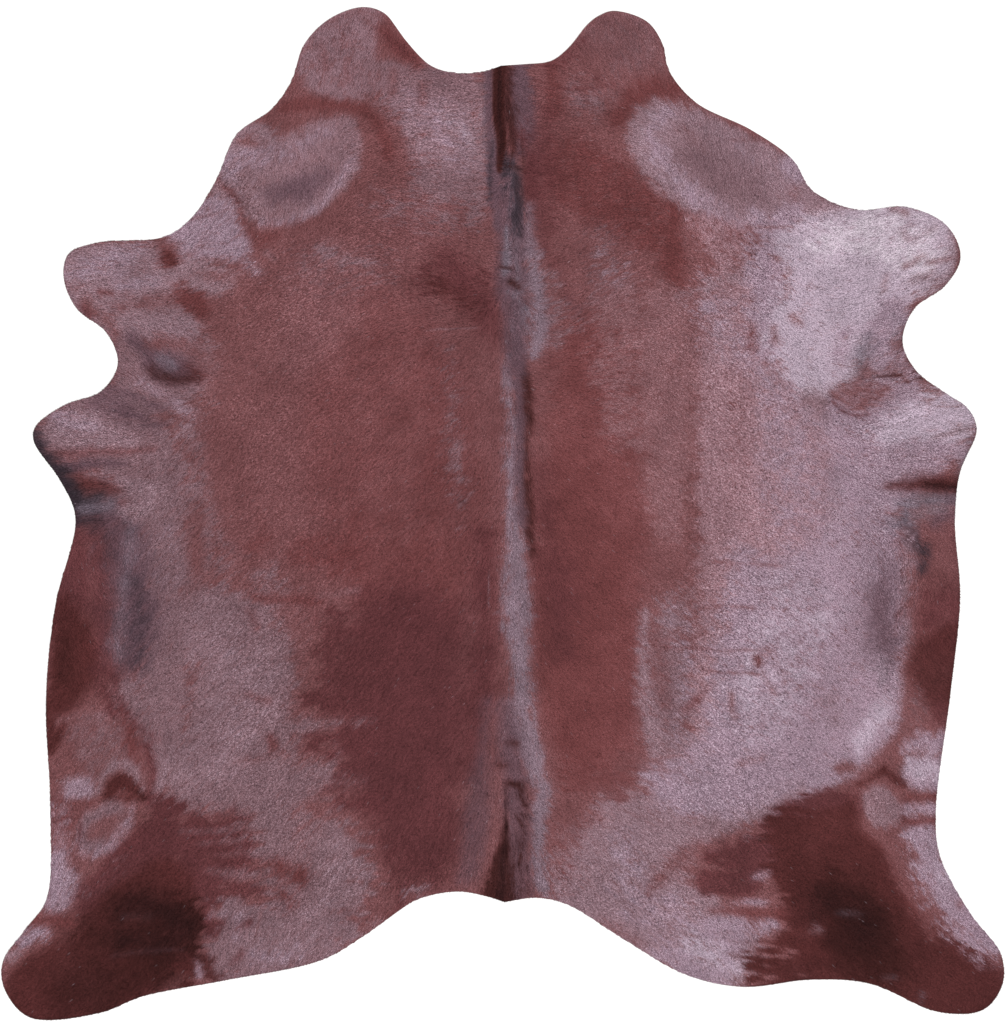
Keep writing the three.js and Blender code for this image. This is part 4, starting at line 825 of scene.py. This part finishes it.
# One rib a row: its name, where it leaves the backbone, and where it meets the left and the right cut edge.
ribs = [
    ("neck notch", 0, hide["neckNotch"], hide["neckNotch"]),
    ("notch floor", 3, (-4.1, 92.7), (4.7, 94.3)),
    ("notch corner", 6, (-10.2, 92.5), (10.3, 95.0)),
    ("neck lobe foot", 10, (-15.3, 94.2), (13.9, 97.7)),
    ("neck lobe inner side", 22.5, (-20.9, 100.1), (17.9, 102.6)),
    ("neck lobe inner crown", 26.5, (-24.7, 105.0), (20.2, 104.4)),
    ("neck lobe tip", 30, (-29.3, 106.3), (23.4, 105.5)),
    ("neck lobe outer crown", 32.5, (-36.3, 103.8), (30.4, 103.3)),
    ("neck lobe outer side", 35, (-41.6, 98.4), (33.6, 98.8)),
    ("cheek", 37.5, (-44.3, 90.6), (35.1, 92.9)),
    ("cheek foot", 40, (-48.5, 84.8), (40.8, 86.2)),
    ("neck side", 42.5, (-55.7, 79.6), (52.3, 80.5)),
    ("shoulder top", 45, (-60.0, 70.1), (61.0, 74.3)),
    ("shoulder hollow", 47.5, (-64.8, 62.5), (65.2, 67.7)),
    ("foreleg root", 50, (-70.7, 58.1), (74.6, 63.7)),
    ("foreleg top", 52.5, (-85.0, 56.8), (84.9, 64.3)),
    ("foreleg corner", 54.8, (-91.0, 54.5), (93.4, 60.4)),
    ("foreleg tip", 57.2, (-92.1, 49.6), (96.3, 53.8)),
    ("foreleg underside", 59.6, (-89.4, 43.0), (93.1, 47.8)),
    ("armpit top", 62.2, (-83.1, 37.9), (86.6, 43.0)),
    ("armpit", 65, (-80.7, 31.4), (84.1, 36.0)),
    ("armpit foot", 68.2, (-84.2, 25.6), (87.0, 29.9)),
    ("elbow top", 71.5, (-91.9, 22.7), (93.3, 25.1)),
    ("elbow corner", 74.7, (-98.0, 18.2), (97.8, 22.0)),
    ("elbow tip", 78, (-98.4, 15.2), (99.7, 17.6)),
    ("elbow underside", 82, (-92.8, 6.8), (96.2, 8.7)),
    ("flank top", 87.5, (-89.6, -0.9), (95.1, -1.3)),
    ("flank hollow", 98, (-93.8, -19.2), (96.2, -17.5)),
    ("flank", 110.5, (-95.8, -39.1), (94.2, -37.7)),
    ("stifle", 121.5, (-94.9, -61.4), (91.1, -62.7)),
    ("hind leg root", 129, (-95.7, -81.1), (92.0, -72.1)),
    ("hind leg flare", 134, (-100.1, -87.4), (98.5, -84.3)),
    ("hock", 138, (-104.9, -94.4), (104.8, -92.7)),
    ("foot outer side", 141, (-104.5, -100.0), (105.1, -99.0)),
    ("foot", 143.5, (-99.3, -105.9), (101.1, -104.3)),
    ("foot inner side", 146, (-84.6, -105.0), (91.8, -104.8)),
    ("hock inner side", 149, (-75.5, -101.5), (77.1, -98.8)),
    ("thigh inner side", 152.2, (-58.5, -98.2), (64.9, -98.0)),
    ("buttock foot", 156, (-38.0, -93.9), (50.5, -99.5)),
    ("buttock", 159.7, (-28.9, -88.7), (38.5, -96.9)),
    ("rump", 164, (-18.4, -81.4), (24.6, -88.9)),
    ("rump crest", 168, (-9.4, -79.5), (13.7, -82.2)),
    ("tail side", 171.8, (-3.3, -80.5), (7.2, -80.8)),
    ("tail notch", 175.4, hide["tailNotch"], hide["tailNotch"]),
]

# Soft ridges where the skin lifts, and troughs where it is drawn in: from, to, half width, height.
folds = [
    ("left elbow fold", (-93.5, 15), (-77.5, 14), 3.0, 0.5),
    ("left armpit fold", (-87, 2), (-74, 3.5), 2.8, 0.45),
    ("left flank fold", (-80, -9), (-80.5, -39), 3.4, 0.4),
    ("left stifle fold", (-83.8, -59), (-74.8, -59), 3.0, 0.55),
    ("left thigh fold", (-86.8, -71.2), (-77.5, -64), 3.0, 0.45),
    ("right elbow fold", (77.5, 12), (94, 11.2), 3.0, 0.5),
    ("right armpit fold", (81.5, 1), (93.5, 2.2), 2.8, 0.45),
    ("right flank fold", (84.5, -6), (83.8, -33), 3.4, 0.4),
    ("right stifle fold", (75.5, -56.5), (84.5, -57), 3.0, 0.55),
    ("right thigh fold", (77, -62), (85, -66.5), 3.0, 0.45),
]

# Fine creases in the skin, too small to leave the floor: from, to, half width, height.
creases = [
    ("neck parting", (-0.4, 93.5), (0, 73), 1.4, -0.15),
    ("backbone groove", (0.6, 73), (3.2, 32), 1.1, -0.05),
    ("left cheek crease", (-59, 69.5), (-53.4, 61.5), 0.9, -0.08),
    ("left cheek swell", (-57, 72), (-50, 60), 1.8, 0.07),
    ("right armhole crease", (52, 59.8), (69, 61.4), 0.7, -0.06),
    ("right armhole swell", (52, 61.6), (69, 63.2), 1.2, 0.06),
    ("left elbow crease 1", (-92, 21.5), (-73, 20), 0.9, 0.06),
    ("left elbow crease 2", (-92, 18), (-74, 17), 0.9, 0.06),
    ("left elbow crease 3", (-92, 10), (-76, 10.6), 0.9, -0.06),
    ("left elbow crease 4", (-92, 5), (-78, 5.6), 1.0, -0.07),
    ("right elbow crease 1", (76, 28.4), (88, 29.6), 0.6, -0.07),
    ("right elbow crease 2", (76, 18), (90, 22), 1.2, 0.07),
    ("right elbow crease 3", (90, 15.6), (98, 17.6), 0.8, -0.06),
    ("right elbow crease 4", (81, 5), (96, 6.6), 1.2, -0.09),
    ("left stifle crease", (-84, -60.4), (-74.4, -60.4), 0.7, -0.06),
    ("left leg wrinkle 1", (-95, -62.2), (-86, -62), 0.7, -0.05),
    ("left leg wrinkle 2", (-95, -65), (-87, -64.6), 0.7, -0.05),
    ("right leg wrinkle 1", (85.4, -60.6), (91, -60.6), 0.7, -0.05),
    ("right leg wrinkle 2", (85.4, -64), (91, -64), 0.7, -0.05),
    ("neck wrinkle", (2, 91), (22, 89.4), 0.6, -0.04),
    ("right side wrinkle 1", (44, -10.2), (60, -10.8), 0.5, -0.04),
    ("right side wrinkle 2", (34, -28.2), (56, -28.8), 0.5, -0.04),
    ("right side wrinkle 3", (41, -33), (54, -33.6), 0.5, -0.04),
]


# Sum of bells across straight crests, at each place.
def bells(x, y, rows):
    total = np.zeros_like(x)
    for _, (ax, ay), (bx, by), halfWidth, height in rows:
        ex, ey = bx - ax, by - ay
        share = np.clip(((x - ax) * ex + (y - ay) * ey) / (ex * ex + ey * ey), 0, 1)
        away = (x - ax - share * ex) ** 2 + (y - ay - share * ey) ** 2
        total += height * np.exp(-away / halfWidth**2)
    return total


# Points of the cut edge at places counted in ribs: a cubic through each pair, its slopes weighted by the
# square root of the distances, so that close landmarks make tight bends.
def cutEdge(points, place):
    p = withGuides(points)
    i = np.minimum(place.astype(int), len(points) - 2)
    t = (place - i)[:, None]
    a, b, c, d = p[i], p[i + 1], p[i + 2], p[i + 3]
    chords = (b - a, c - b, d - c)
    before, span, after = (np.linalg.norm(chord, axis=1, keepdims=True) ** 0.5 for chord in chords)
    start = ((b - a) / before - (c - a) / (before + span) + (c - b) / span) * span
    end = ((c - b) / span - (d - b) / (span + after) + (d - c) / after) * span
    return b + start * t + (3 * c - 3 * b - 2 * start - end) * t**2 + (2 * b - 2 * c + start + end) * t**3


# Places between the landmarks, at most rowStep apart on either cut edge.
def ribPlaces(sides):
    places = [np.zeros(1)]
    for i in range(len(ribs) - 1):
        halves = [cutEdge(side, np.array([i, i + 0.5, i + 1.0])) for side in sides]
        span = max(np.linalg.norm(np.diff(half, axis=0), axis=1).sum() for half in halves)
        steps = math.ceil(span / hide["rowStep"])
        places.append(i + np.arange(1, steps + 1) / steps)
    return np.concatenate(places)


# Heights of the flesh side and of the top of the coat: the folds' bells lift both, the thickness falls
# from the backbone to the cut edge with the square of a cosine, and the creases shape the top alone.
def surfaceHeights(x, y, share):
    lift = np.maximum(bells(x, y, folds) - hide["fadeOut"], 0)
    backShare = np.cos(share * math.pi / 2) ** 2
    thick = hide["bellyThickness"] + (hide["backThickness"] - hide["bellyThickness"]) * backShare
    return lift, lift + thick + bells(x, y, creases)


# One face of the hide, from the left cut edge over the backbone to the right one: rows of points, and
# each one's share of the way out from the backbone.
def faceGrid(across, crowding):
    share = np.linspace(-1, 1, 2 * across + 1)
    share = np.sign(share) * (1 - (1 - np.abs(share)) ** crowding)
    end = np.where(share[None, :, None] < 0, ends[0][:, None], ends[1][:, None])
    grid = starts[:, None] + (end - starts[:, None]) * np.abs(share)[None, :, None]
    return grid, np.broadcast_to(np.abs(share), grid.shape[:2])


# The grid's faces: four corners each between neighbouring rows and columns, a fan of triangles at either
# notch, where all points of a row are one, and the ring of points round the cut edge.
def gridFaces(rows, columns, first, up):
    index = first + np.arange(rows * columns).reshape(rows, columns)
    a, b, c, d = index[:-1, :-1], index[:-1, 1:], index[1:, 1:], index[1:, :-1]
    quads = np.stack([d, c, b, a] if up else [a, b, c, d], -1).reshape(-1, 4)
    head, tail = first + rows * columns, first + rows * columns + 1
    fans = [(np.full(columns - 1, head), index[0, :-1], index[0, 1:]),
            (np.full(columns - 1, tail), index[-1, 1:], index[-1, :-1])]
    tris = np.concatenate([np.stack(fan, -1) for fan in fans])
    ring = np.concatenate([[head], index[:, -1], [tail], index[::-1, 0]])
    return quads, tris if up else tris[:, ::-1], ring


# The points of the skin, which is the coat's depth under its top but never less than the least leather,
# or those of the flesh side: as a grid, and as a list that ends with both notches.
def sheetPoints(across, top):
    grid, share = faceGrid(across, 1 if top else hide["crowding"])
    x, y = grid[..., 0], grid[..., 1]
    lift, height = (z.reshape(x.shape) for z in surfaceHeights(x.ravel(), y.ravel(), share.ravel()))
    z = np.maximum(height - hide["coatDepth"], lift + hide["leastLeather"]) if top else lift
    full = np.dstack([x, y, z])
    return full, np.concatenate([full[1:-1].reshape(-1, 3), full[0, :1], full[-1, :1]])


# A mesh from its points and its faces, which come in groups with the same number of corners.
def makeMesh(name, points, faces, materials, faceMaterial=None):
    mesh = bpy.data.meshes.new(name)
    mesh.vertices.add(len(points))
    mesh.vertices.foreach_set("co", np.ascontiguousarray(points, dtype=np.float32).ravel())
    corners = np.concatenate([f.ravel() for f in faces])
    sizes = np.concatenate([np.full(len(f), f.shape[1]) for f in faces])
    mesh.loops.add(len(corners))
    mesh.loops.foreach_set("vertex_index", corners.astype(np.int32))
    mesh.polygons.add(len(sizes))
    mesh.polygons.foreach_set("loop_start", (np.cumsum(sizes) - sizes).astype(np.int32))
    mesh.update(calc_edges=True)
    for material in materials:
        mesh.materials.append(material)
    if faceMaterial is not None:
        mesh.polygons.foreach_set("material_index", faceMaterial.astype(np.int32))
    made = bpy.data.objects.new(name, mesh)
    bpy.context.collection.objects.link(made)
    return made


# Colour and lie of the hair at the points, and a flat map seen from above.
def paint(piece, colour, lie, points):
    mesh = piece.data
    layer = mesh.color_attributes.new("coatColour", "FLOAT_COLOR", "POINT")
    layer.data.foreach_set("color", colour.astype(np.float32).ravel())
    layer = mesh.attributes.new("lie", "FLOAT_VECTOR", "POINT")
    layer.data.foreach_set("vector", np.column_stack([lie, np.zeros(len(lie))]).astype(np.float32).ravel())
    corner = np.zeros(len(mesh.loops), np.int32)
    mesh.loops.foreach_get("vertex_index", corner)
    low, high = points[:, :2].min(0), points[:, :2].max(0)
    flat = (points[corner, :2] - low) / (high - low).max()
    mesh.uv_layers.new(name="OFBake").data.foreach_set("uv", flat.astype(np.float32).ravel())


# The frame of the solid: metres, with the middle of the outline over the origin.
def inFrame(points):
    return (points - np.append(middle, 0)) * cm


leftEdge, rightEdge = [row[2] for row in ribs], [row[3] for row in ribs]
places = ribPlaces([leftEdge, rightEdge])
spine = (np.interp(places, np.arange(len(ribs)), [row[1] for row in ribs]) / ribs[-1][1])[:, None]
neck, tail = np.array(hide["neckNotch"]), np.array(hide["tailNotch"])
bow = hide["backboneBow"] * np.sin(math.pi * spine)
starts = neck + (tail - neck) * spine + np.column_stack([bow, 0 * bow])
ends = [cutEdge(leftEdge, places), cutEdge(rightEdge, places)]
outline = np.concatenate([ends[0], ends[1][-2:0:-1]])
middle = (outline.min(0) + outline.max(0)) / 2  # the frame's origin is under it
print("outline", (np.ptp(outline, axis=0) * cm).round(4), "metres")

topGrid, topPoints = sheetPoints(hide["acrossTop"], True)
_, underPoints = sheetPoints(hide["acrossUnder"], False)
rows = len(places) - 2
topQuads, topTris, topRing = gridFaces(rows, 2 * hide["acrossTop"] + 1, 0, True)
underQuads, underTris, underRing = gridFaces(rows, 2 * hide["acrossUnder"] + 1, len(topPoints), False)
rim = np.stack([topRing, underRing, np.roll(underRing, -1), np.roll(topRing, -1)], -1)
points = np.concatenate([topPoints, underPoints])
quadCount, triangleCount = len(topQuads) + len(underQuads) + len(rim), len(topTris) + len(underTris)
print("skin", len(points), "points", 2 * quadCount + triangleCount, "triangles")

# How much the coat's painted sheen gleams: the part of each colour channel, the brightness where it starts
# and how much more makes it full, and the place on the neck where the coat lies closer, how far round it and
# how much less it gleams there.
gleamLook = dict(channels=(0.3, 0.5, 0.2), start=0.075, span=0.15, closeAt=(-22, 92), closeReach=34,
                 closer=0.5)


# Gleam from the colour: nothing where the coat is dark, all where its painted sheen is pale, and less round
# the left of the neck.
def gleamOf(colour, x, y):
    cx, cy = gleamLook["closeAt"]
    close = np.exp(-((x - cx) ** 2 + (y - cy) ** 2) / gleamLook["closeReach"] ** 2)
    bright = (colour @ np.array(gleamLook["channels"]) - gleamLook["start"]) / gleamLook["span"]
    return np.clip(bright, 0, 1) * (1 - gleamLook["closer"] * close)


# A material with its own Principled shader, and what is needed to add nodes to it.
def newMaterial(name, roughness, specular):
    material = bpy.data.materials.new(name)
    material.use_nodes = True
    shader = material.node_tree.nodes["Principled BSDF"]
    shader.inputs["Roughness"].default_value = roughness
    shader.inputs["Specular IOR Level"].default_value = specular
    return material, material.node_tree.nodes, material.node_tree.links, shader


# Single hairs: the steps along the lie in metres, the scale of the noise, how strong its streaks are, how
# much they change the colour and how much more where it gleams, the darkest they make it, and how far the
# bright ones are mixed towards the glint tone, a painted highlight.
strand = dict(steps=(-0.0008, 0, 0.0008), fineness=1000, contrast=11, swing=0.32, gleamSwing=0.16,
              darkest=0.2, glint=0.3)


# Fine hair: noise sampled at steps along the lie and averaged, which draws it out into short strands. It
# darkens and lightens the colour, and where the coat gleams its bright strands are mixed towards the glint
# tone as painted highlights.
def hairGroup():
    group = bpy.data.node_groups.new("combed hair", "ShaderNodeTree")
    for name, kind, way in (("Colour", "NodeSocketColor", "INPUT"), ("Gleam", "NodeSocketFloat", "INPUT"),
                            ("Lie", "NodeSocketVector", "INPUT"), ("Colour", "NodeSocketColor", "OUTPUT")):
        group.interface.new_socket(name=name, in_out=way, socket_type=kind)
    nodes, links = group.nodes, group.links

    def node(kind, **settings):
        made = nodes.new("ShaderNode" + kind)
        for key, value in settings.items():
            setattr(made, key, value)
        return made

    def maths(operation, *values):
        made = node("Math", operation=operation)
        for socket, value in zip(made.inputs, values):
            if hasattr(value, "links"):
                links.new(value, socket)
            else:
                socket.default_value = value
        return made.outputs[0]

    inside, outside = nodes.new("NodeGroupInput"), nodes.new("NodeGroupOutput")
    place = node("TexCoord").outputs["Object"]
    total = 0
    for step in strand["steps"]:
        moved = node("VectorMath", operation="MULTIPLY_ADD")
        links.new(inside.outputs["Lie"], moved.inputs[0])
        moved.inputs[1].default_value = (step, step, step)
        links.new(place, moved.inputs[2])
        noise = node("TexNoise")
        noise.inputs["Scale"].default_value, noise.inputs["Detail"].default_value = strand["fineness"], 0
        links.new(moved.outputs[0], noise.inputs["Vector"])
        total = maths("ADD", noise.outputs["Fac"], total)
    swing = maths("SUBTRACT", maths("DIVIDE", total, len(strand["steps"])), 0.5)
    streak = maths("MULTIPLY", swing, strand["contrast"])
    depth = maths("MULTIPLY_ADD", inside.outputs["Gleam"], strand["gleamSwing"], strand["swing"])
    scaled = node("VectorMath", operation="SCALE")
    links.new(inside.outputs["Colour"], scaled.inputs[0])
    level = maths("MAXIMUM", maths("MULTIPLY_ADD", streak, depth, 1), strand["darkest"])
    links.new(level, scaled.inputs["Scale"])
    # Painted highlight: the bright strands mixed towards the glint tone where the coat gleams.
    bright = maths("MAXIMUM", streak, 0)
    pale = node("Mix", data_type="RGBA")
    share = maths("MULTIPLY", bright, maths("MULTIPLY", inside.outputs["Gleam"], strand["glint"]))
    links.new(share, pale.inputs["Factor"])
    links.new(scaled.outputs[0], pale.inputs["A"])
    pale.inputs["B"].default_value = (*linearTone(tones["glint"]), 1)
    links.new(pale.outputs["Result"], outside.inputs["Colour"])
    return group


combedHair = hairGroup()


# The coat on a piece: its colour, with its painted sheen and shade, its gleam and lie at each point, run
# through the combed hair.
def coatMaterial(name, roughness):
    material, nodes, links, shader = newMaterial(name, roughness, specular=0.06)
    colour, lie, group = (nodes.new("ShaderNode" + kind) for kind in ("VertexColor", "Attribute", "Group"))
    colour.layer_name, lie.attribute_name, group.node_tree = "coatColour", "lie", combedHair
    links.new(colour.outputs["Color"], group.inputs["Colour"])
    links.new(colour.outputs["Alpha"], group.inputs["Gleam"])
    links.new(lie.outputs["Vector"], group.inputs["Lie"])
    links.new(group.outputs["Colour"], shader.inputs["Base Color"])
    return material


# The flesh side, as sRGB tones and the scale and detail of its nap.
fleshSide = dict(dark="#8f7f74", pale="#b3a396", napScale=60, napDetail=6)


# Suede: a nap of soft noise between two tones.
def suedeMaterial():
    material, nodes, links, shader = newMaterial("suede flesh side", roughness=0.9, specular=0.15)
    place, noise, ramp = (nodes.new("ShaderNode" + kind) for kind in ("TexCoord", "TexNoise", "ValToRGB"))
    noise.inputs["Scale"].default_value = fleshSide["napScale"]
    noise.inputs["Detail"].default_value = fleshSide["napDetail"]
    for element, tone in zip(ramp.color_ramp.elements, ("dark", "pale")):
        element.color = (*linearTone(fleshSide[tone]), 1)
    links.new(place.outputs["Object"], noise.inputs["Vector"])
    links.new(noise.outputs["Fac"], ramp.inputs["Fac"])
    links.new(ramp.outputs["Color"], shader.inputs["Base Color"])
    return material


skin = coatMaterial("hair roots", roughness=0.7)
hair = coatMaterial("short coat", roughness=0.6)
suede = suedeMaterial()
print("materials", skin.name, hair.name, suede.name)
# Under the painted sheen the skin is darkened further, which balances the painted highlights of the strands.
rootLook = dict(level=0.9, gleamDim=0.12)  # the skin is darker than the locks, and more so under the painted sheen

skinColour = coatColour(points[:, 0], points[:, 1], np.zeros(len(points))) * rootLook["level"]
skinGleam = gleamOf(skinColour, points[:, 0], points[:, 1])
skinColour *= (1 - rootLook["gleamDim"] * skinGleam)[:, None]
skinLie = np.column_stack(lieOfHair(points[:, 0], points[:, 1]))
faceMaterial = np.concatenate([np.zeros(len(topQuads)), np.ones(len(underQuads) + len(rim)),
                               np.zeros(len(topTris)), np.ones(len(underTris))])
skinFaces = [topQuads, underQuads, rim, topTris, underTris]
leather = makeMesh("hide_leather", inFrame(points), skinFaces, [skin, suede], faceMaterial)
leather.data.polygons.foreach_set("use_smooth", np.ones(len(leather.data.polygons), bool))
paint(leather, np.column_stack([skinColour, skinGleam]), skinLie, inFrame(points))

# The coat: flat locks of hair, each with two corners at its root, one on its ridge and one at its tip.
# spread is the step from lock to lock within a face of the skin, which keeps them evenly apart, and
# jitter what is added to it. ridgeAt is a share of the length, ridgeLean one of the tip's height. Locks
# turn from the lie at random, by turn, and together in waves. At the cut edge they are cut short and
# narrower. The two seeds start the random numbers of the locks and of the waves.
coat = dict(count=200000, spread=(0.7549, 0.5698), jitter=0.05, length=(0.8, 1.4), width=(0.19, 0.28),
            rootDepth=0.03, ridgeAt=0.38, ridge=0.02, ridgeLean=0.62, tip=(0.05, 0.11), turn=0.12, waves=0.14,
            waveSize=1.5, overhang=0.12, shortest=0.12, cutWidth=0.9, seed=5, waveSeed=31)

rng = np.random.default_rng(coat["seed"])
a, b, c, d = topGrid[:-1, :-1], topGrid[:-1, 1:], topGrid[1:, 1:], topGrid[1:, :-1]
area = 0.5 * np.abs(np.cross((c - a)[..., :2], (d - b)[..., :2])).ravel()
until = np.floor(np.cumsum(area) / area.sum() * coat["count"]).astype(int)
each = np.diff(until, prepend=0)
home = np.repeat(np.arange(len(area)), each)
order = np.arange(len(home)) - np.repeat(until - each, each)
shift = rng.random((len(area), 2))[home]
u, v = (((shift[:, k] + order * coat["spread"][k] + rng.normal(0, coat["jitter"], len(home))) % 1)[:, None]
        for k in (0, 1))
corners = [g.reshape(-1, 3)[home] for g in (a, b, c, d)]
root = (corners[0] * (1 - u) + corners[1] * u) * (1 - v) + (corners[3] * (1 - u) + corners[2] * u) * v
x, y = root[:, 0], root[:, 1]
dx, dy = lieOfHair(x, y)
waves = coat["waves"] * cloud(x, y, coat["waveSize"], coat["waveSeed"])
turn = rng.normal(0, coat["turn"], len(x)) + waves
dx, dy = dx * np.cos(turn) - dy * np.sin(turn), dx * np.sin(turn) + dy * np.cos(turn)
length = rng.uniform(*coat["length"], len(x))
inside = distanceTo(x, y, outline)
reach = distanceTo(x + dx * length, y + dy * length, outline)
over = reach > coat["overhang"]
kept = np.clip((coat["overhang"] - inside) / np.maximum(reach - inside, 1e-6), coat["shortest"], 1)
length = np.where(over, length * kept, length)
width = rng.uniform(*coat["width"], len(x)) * np.where(over, coat["cutWidth"], 1)
lie = np.column_stack([dx, dy])
across = np.column_stack([-dy, dx])
lean = rng.uniform(*coat["tip"], len(x))


# A point of each lock: so far along the lie and across it, and so high over the skin there.
def lockPoint(forward, sideways, height):
    place = root[:, :2] + lie * forward[:, None] + across * sideways[:, None]
    rise = bells(place[:, 0], place[:, 1], folds) - bells(x, y, folds)
    return np.column_stack([place, root[:, 2] + rise + height])


none, ridgeAt = 0 * x, length * coat["ridgeAt"]
locks = np.stack([
    lockPoint(none, -width / 2, none - coat["rootDepth"]),
    lockPoint(none, width / 2, none - coat["rootDepth"]),
    lockPoint(ridgeAt, none, lean * coat["ridgeLean"] + coat["ridge"]),
    lockPoint(length, none, lean),
], axis=1)

# Colour of each lock at its root, its ridge and its tip. A lock's own level swings a little, more where it
# gleams, and under the painted sheen it is darkened a little, which balances the painted highlights of the
# strands. A few locks are glints, painted highlights in the glint tone.
lockLook = dict(swing=0.035, gleamSwing=0.025, least=0.6, most=1.6, level=0.97, gleamDim=0.12,
                glintShare=0.004, glint=0.12)
luck = rng.uniform(-1, 1, len(x))
swing = rng.normal(0, 1, len(x))
glints = np.where(rng.random(len(x)) < lockLook["glintShare"], lockLook["glint"], 0)[:, None]
lockColour = []
for forward in (none, ridgeAt, length):
    base = coatColour(x + dx * forward, y + dy * forward, luck)
    gleam = gleamOf(base, x, y)
    own = 1 + swing * (lockLook["swing"] + lockLook["gleamSwing"] * gleam)
    own = np.clip(own, lockLook["least"], lockLook["most"])
    base *= (own * (lockLook["level"] - lockLook["gleamDim"] * gleam))[:, None]
    base += glints * (linearTone(tones["glint"]) - base)
    lockColour.append(np.column_stack([base, gleam]))
lockColour = np.stack([lockColour[k] for k in (0, 0, 1, 2)], axis=1)

# The coat's pieces: the neck, and the left and right of each band below it.
neckFoot, ribFoot, flankFoot, backboneAt = 62, -5, -52, 2
bands = {
    "shoulder": (y <= neckFoot) & (y > ribFoot),
    "flank": (y <= ribFoot) & (y > flankFoot),
    "rump": y <= flankFoot,
}
regions = {"coat_neck": y > neckFoot}
for band, part in bands.items():
    regions["coat_left_" + band] = part & (x < backboneAt)
    regions["coat_right_" + band] = part & (x >= backboneAt)

lockFaces = np.array([[0, 2, 3], [2, 1, 3], [0, 1, 2], [0, 3, 1]])
coats = []
for name, part in regions.items():
    chosen = inFrame(locks[part].reshape(-1, 3))
    faces = (np.arange(part.sum())[:, None, None] * 4 + lockFaces).reshape(-1, 3)
    piece = makeMesh(name, chosen, [faces], [hair])
    paint(piece, lockColour[part].reshape(-1, 4), np.repeat(lie[part], 4, axis=0), chosen)
    coats.append(piece)
    print(name, len(faces), "triangles")

for piece in [leather, *coats]:
    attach(piece, "root")
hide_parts("hide")

# Floor, camera and light, in metres and degrees. The camera looks straight down.
studio = dict(floorSize=60, floorTone=0.9, lens=100, sensor=36, cameraAt=(0.0005, 0.0034, 5.977),
              skyStrength=0.53)
lamps = [
    dict(name="key light", strength=2.31, size=24, turn=(38, 0, 40)),
    dict(name="fill light", strength=0.77, size=60, turn=(35, 0, -140)),
]

floorMaterial, *_, shader = newMaterial("pale floor", roughness=0.8, specular=0.1)
shader.inputs["Base Color"].default_value = (*[studio["floorTone"]] * 3, 1)
bpy.ops.mesh.primitive_plane_add(size=studio["floorSize"])
floor = bpy.context.object
floor.name = "floor"
floor.data.materials.append(floorMaterial)

scene = bpy.context.scene
camera = bpy.data.objects.new("camera", bpy.data.cameras.new("camera"))
bpy.context.collection.objects.link(camera)
camera.data.lens = studio["lens"]
camera.data.sensor_width = studio["sensor"]
camera.location = studio["cameraAt"]
scene.camera = camera

for row in lamps:
    lamp = bpy.data.lights.new(row["name"], "SUN")
    lamp.energy, lamp.angle = row["strength"], math.radians(row["size"])
    light = bpy.data.objects.new(row["name"], lamp)
    light.rotation_euler = [math.radians(t) for t in row["turn"]]
    bpy.context.collection.objects.link(light)
world = bpy.data.worlds.new("studio")
world.use_nodes = True
world.node_tree.nodes["Background"].inputs["Color"].default_value = (1, 1, 1, 1)
world.node_tree.nodes["Background"].inputs["Strength"].default_value = studio["skyStrength"]
scene.world = world
scene.view_settings.view_transform = "Standard"
print("studio", len(lamps), "lamps")
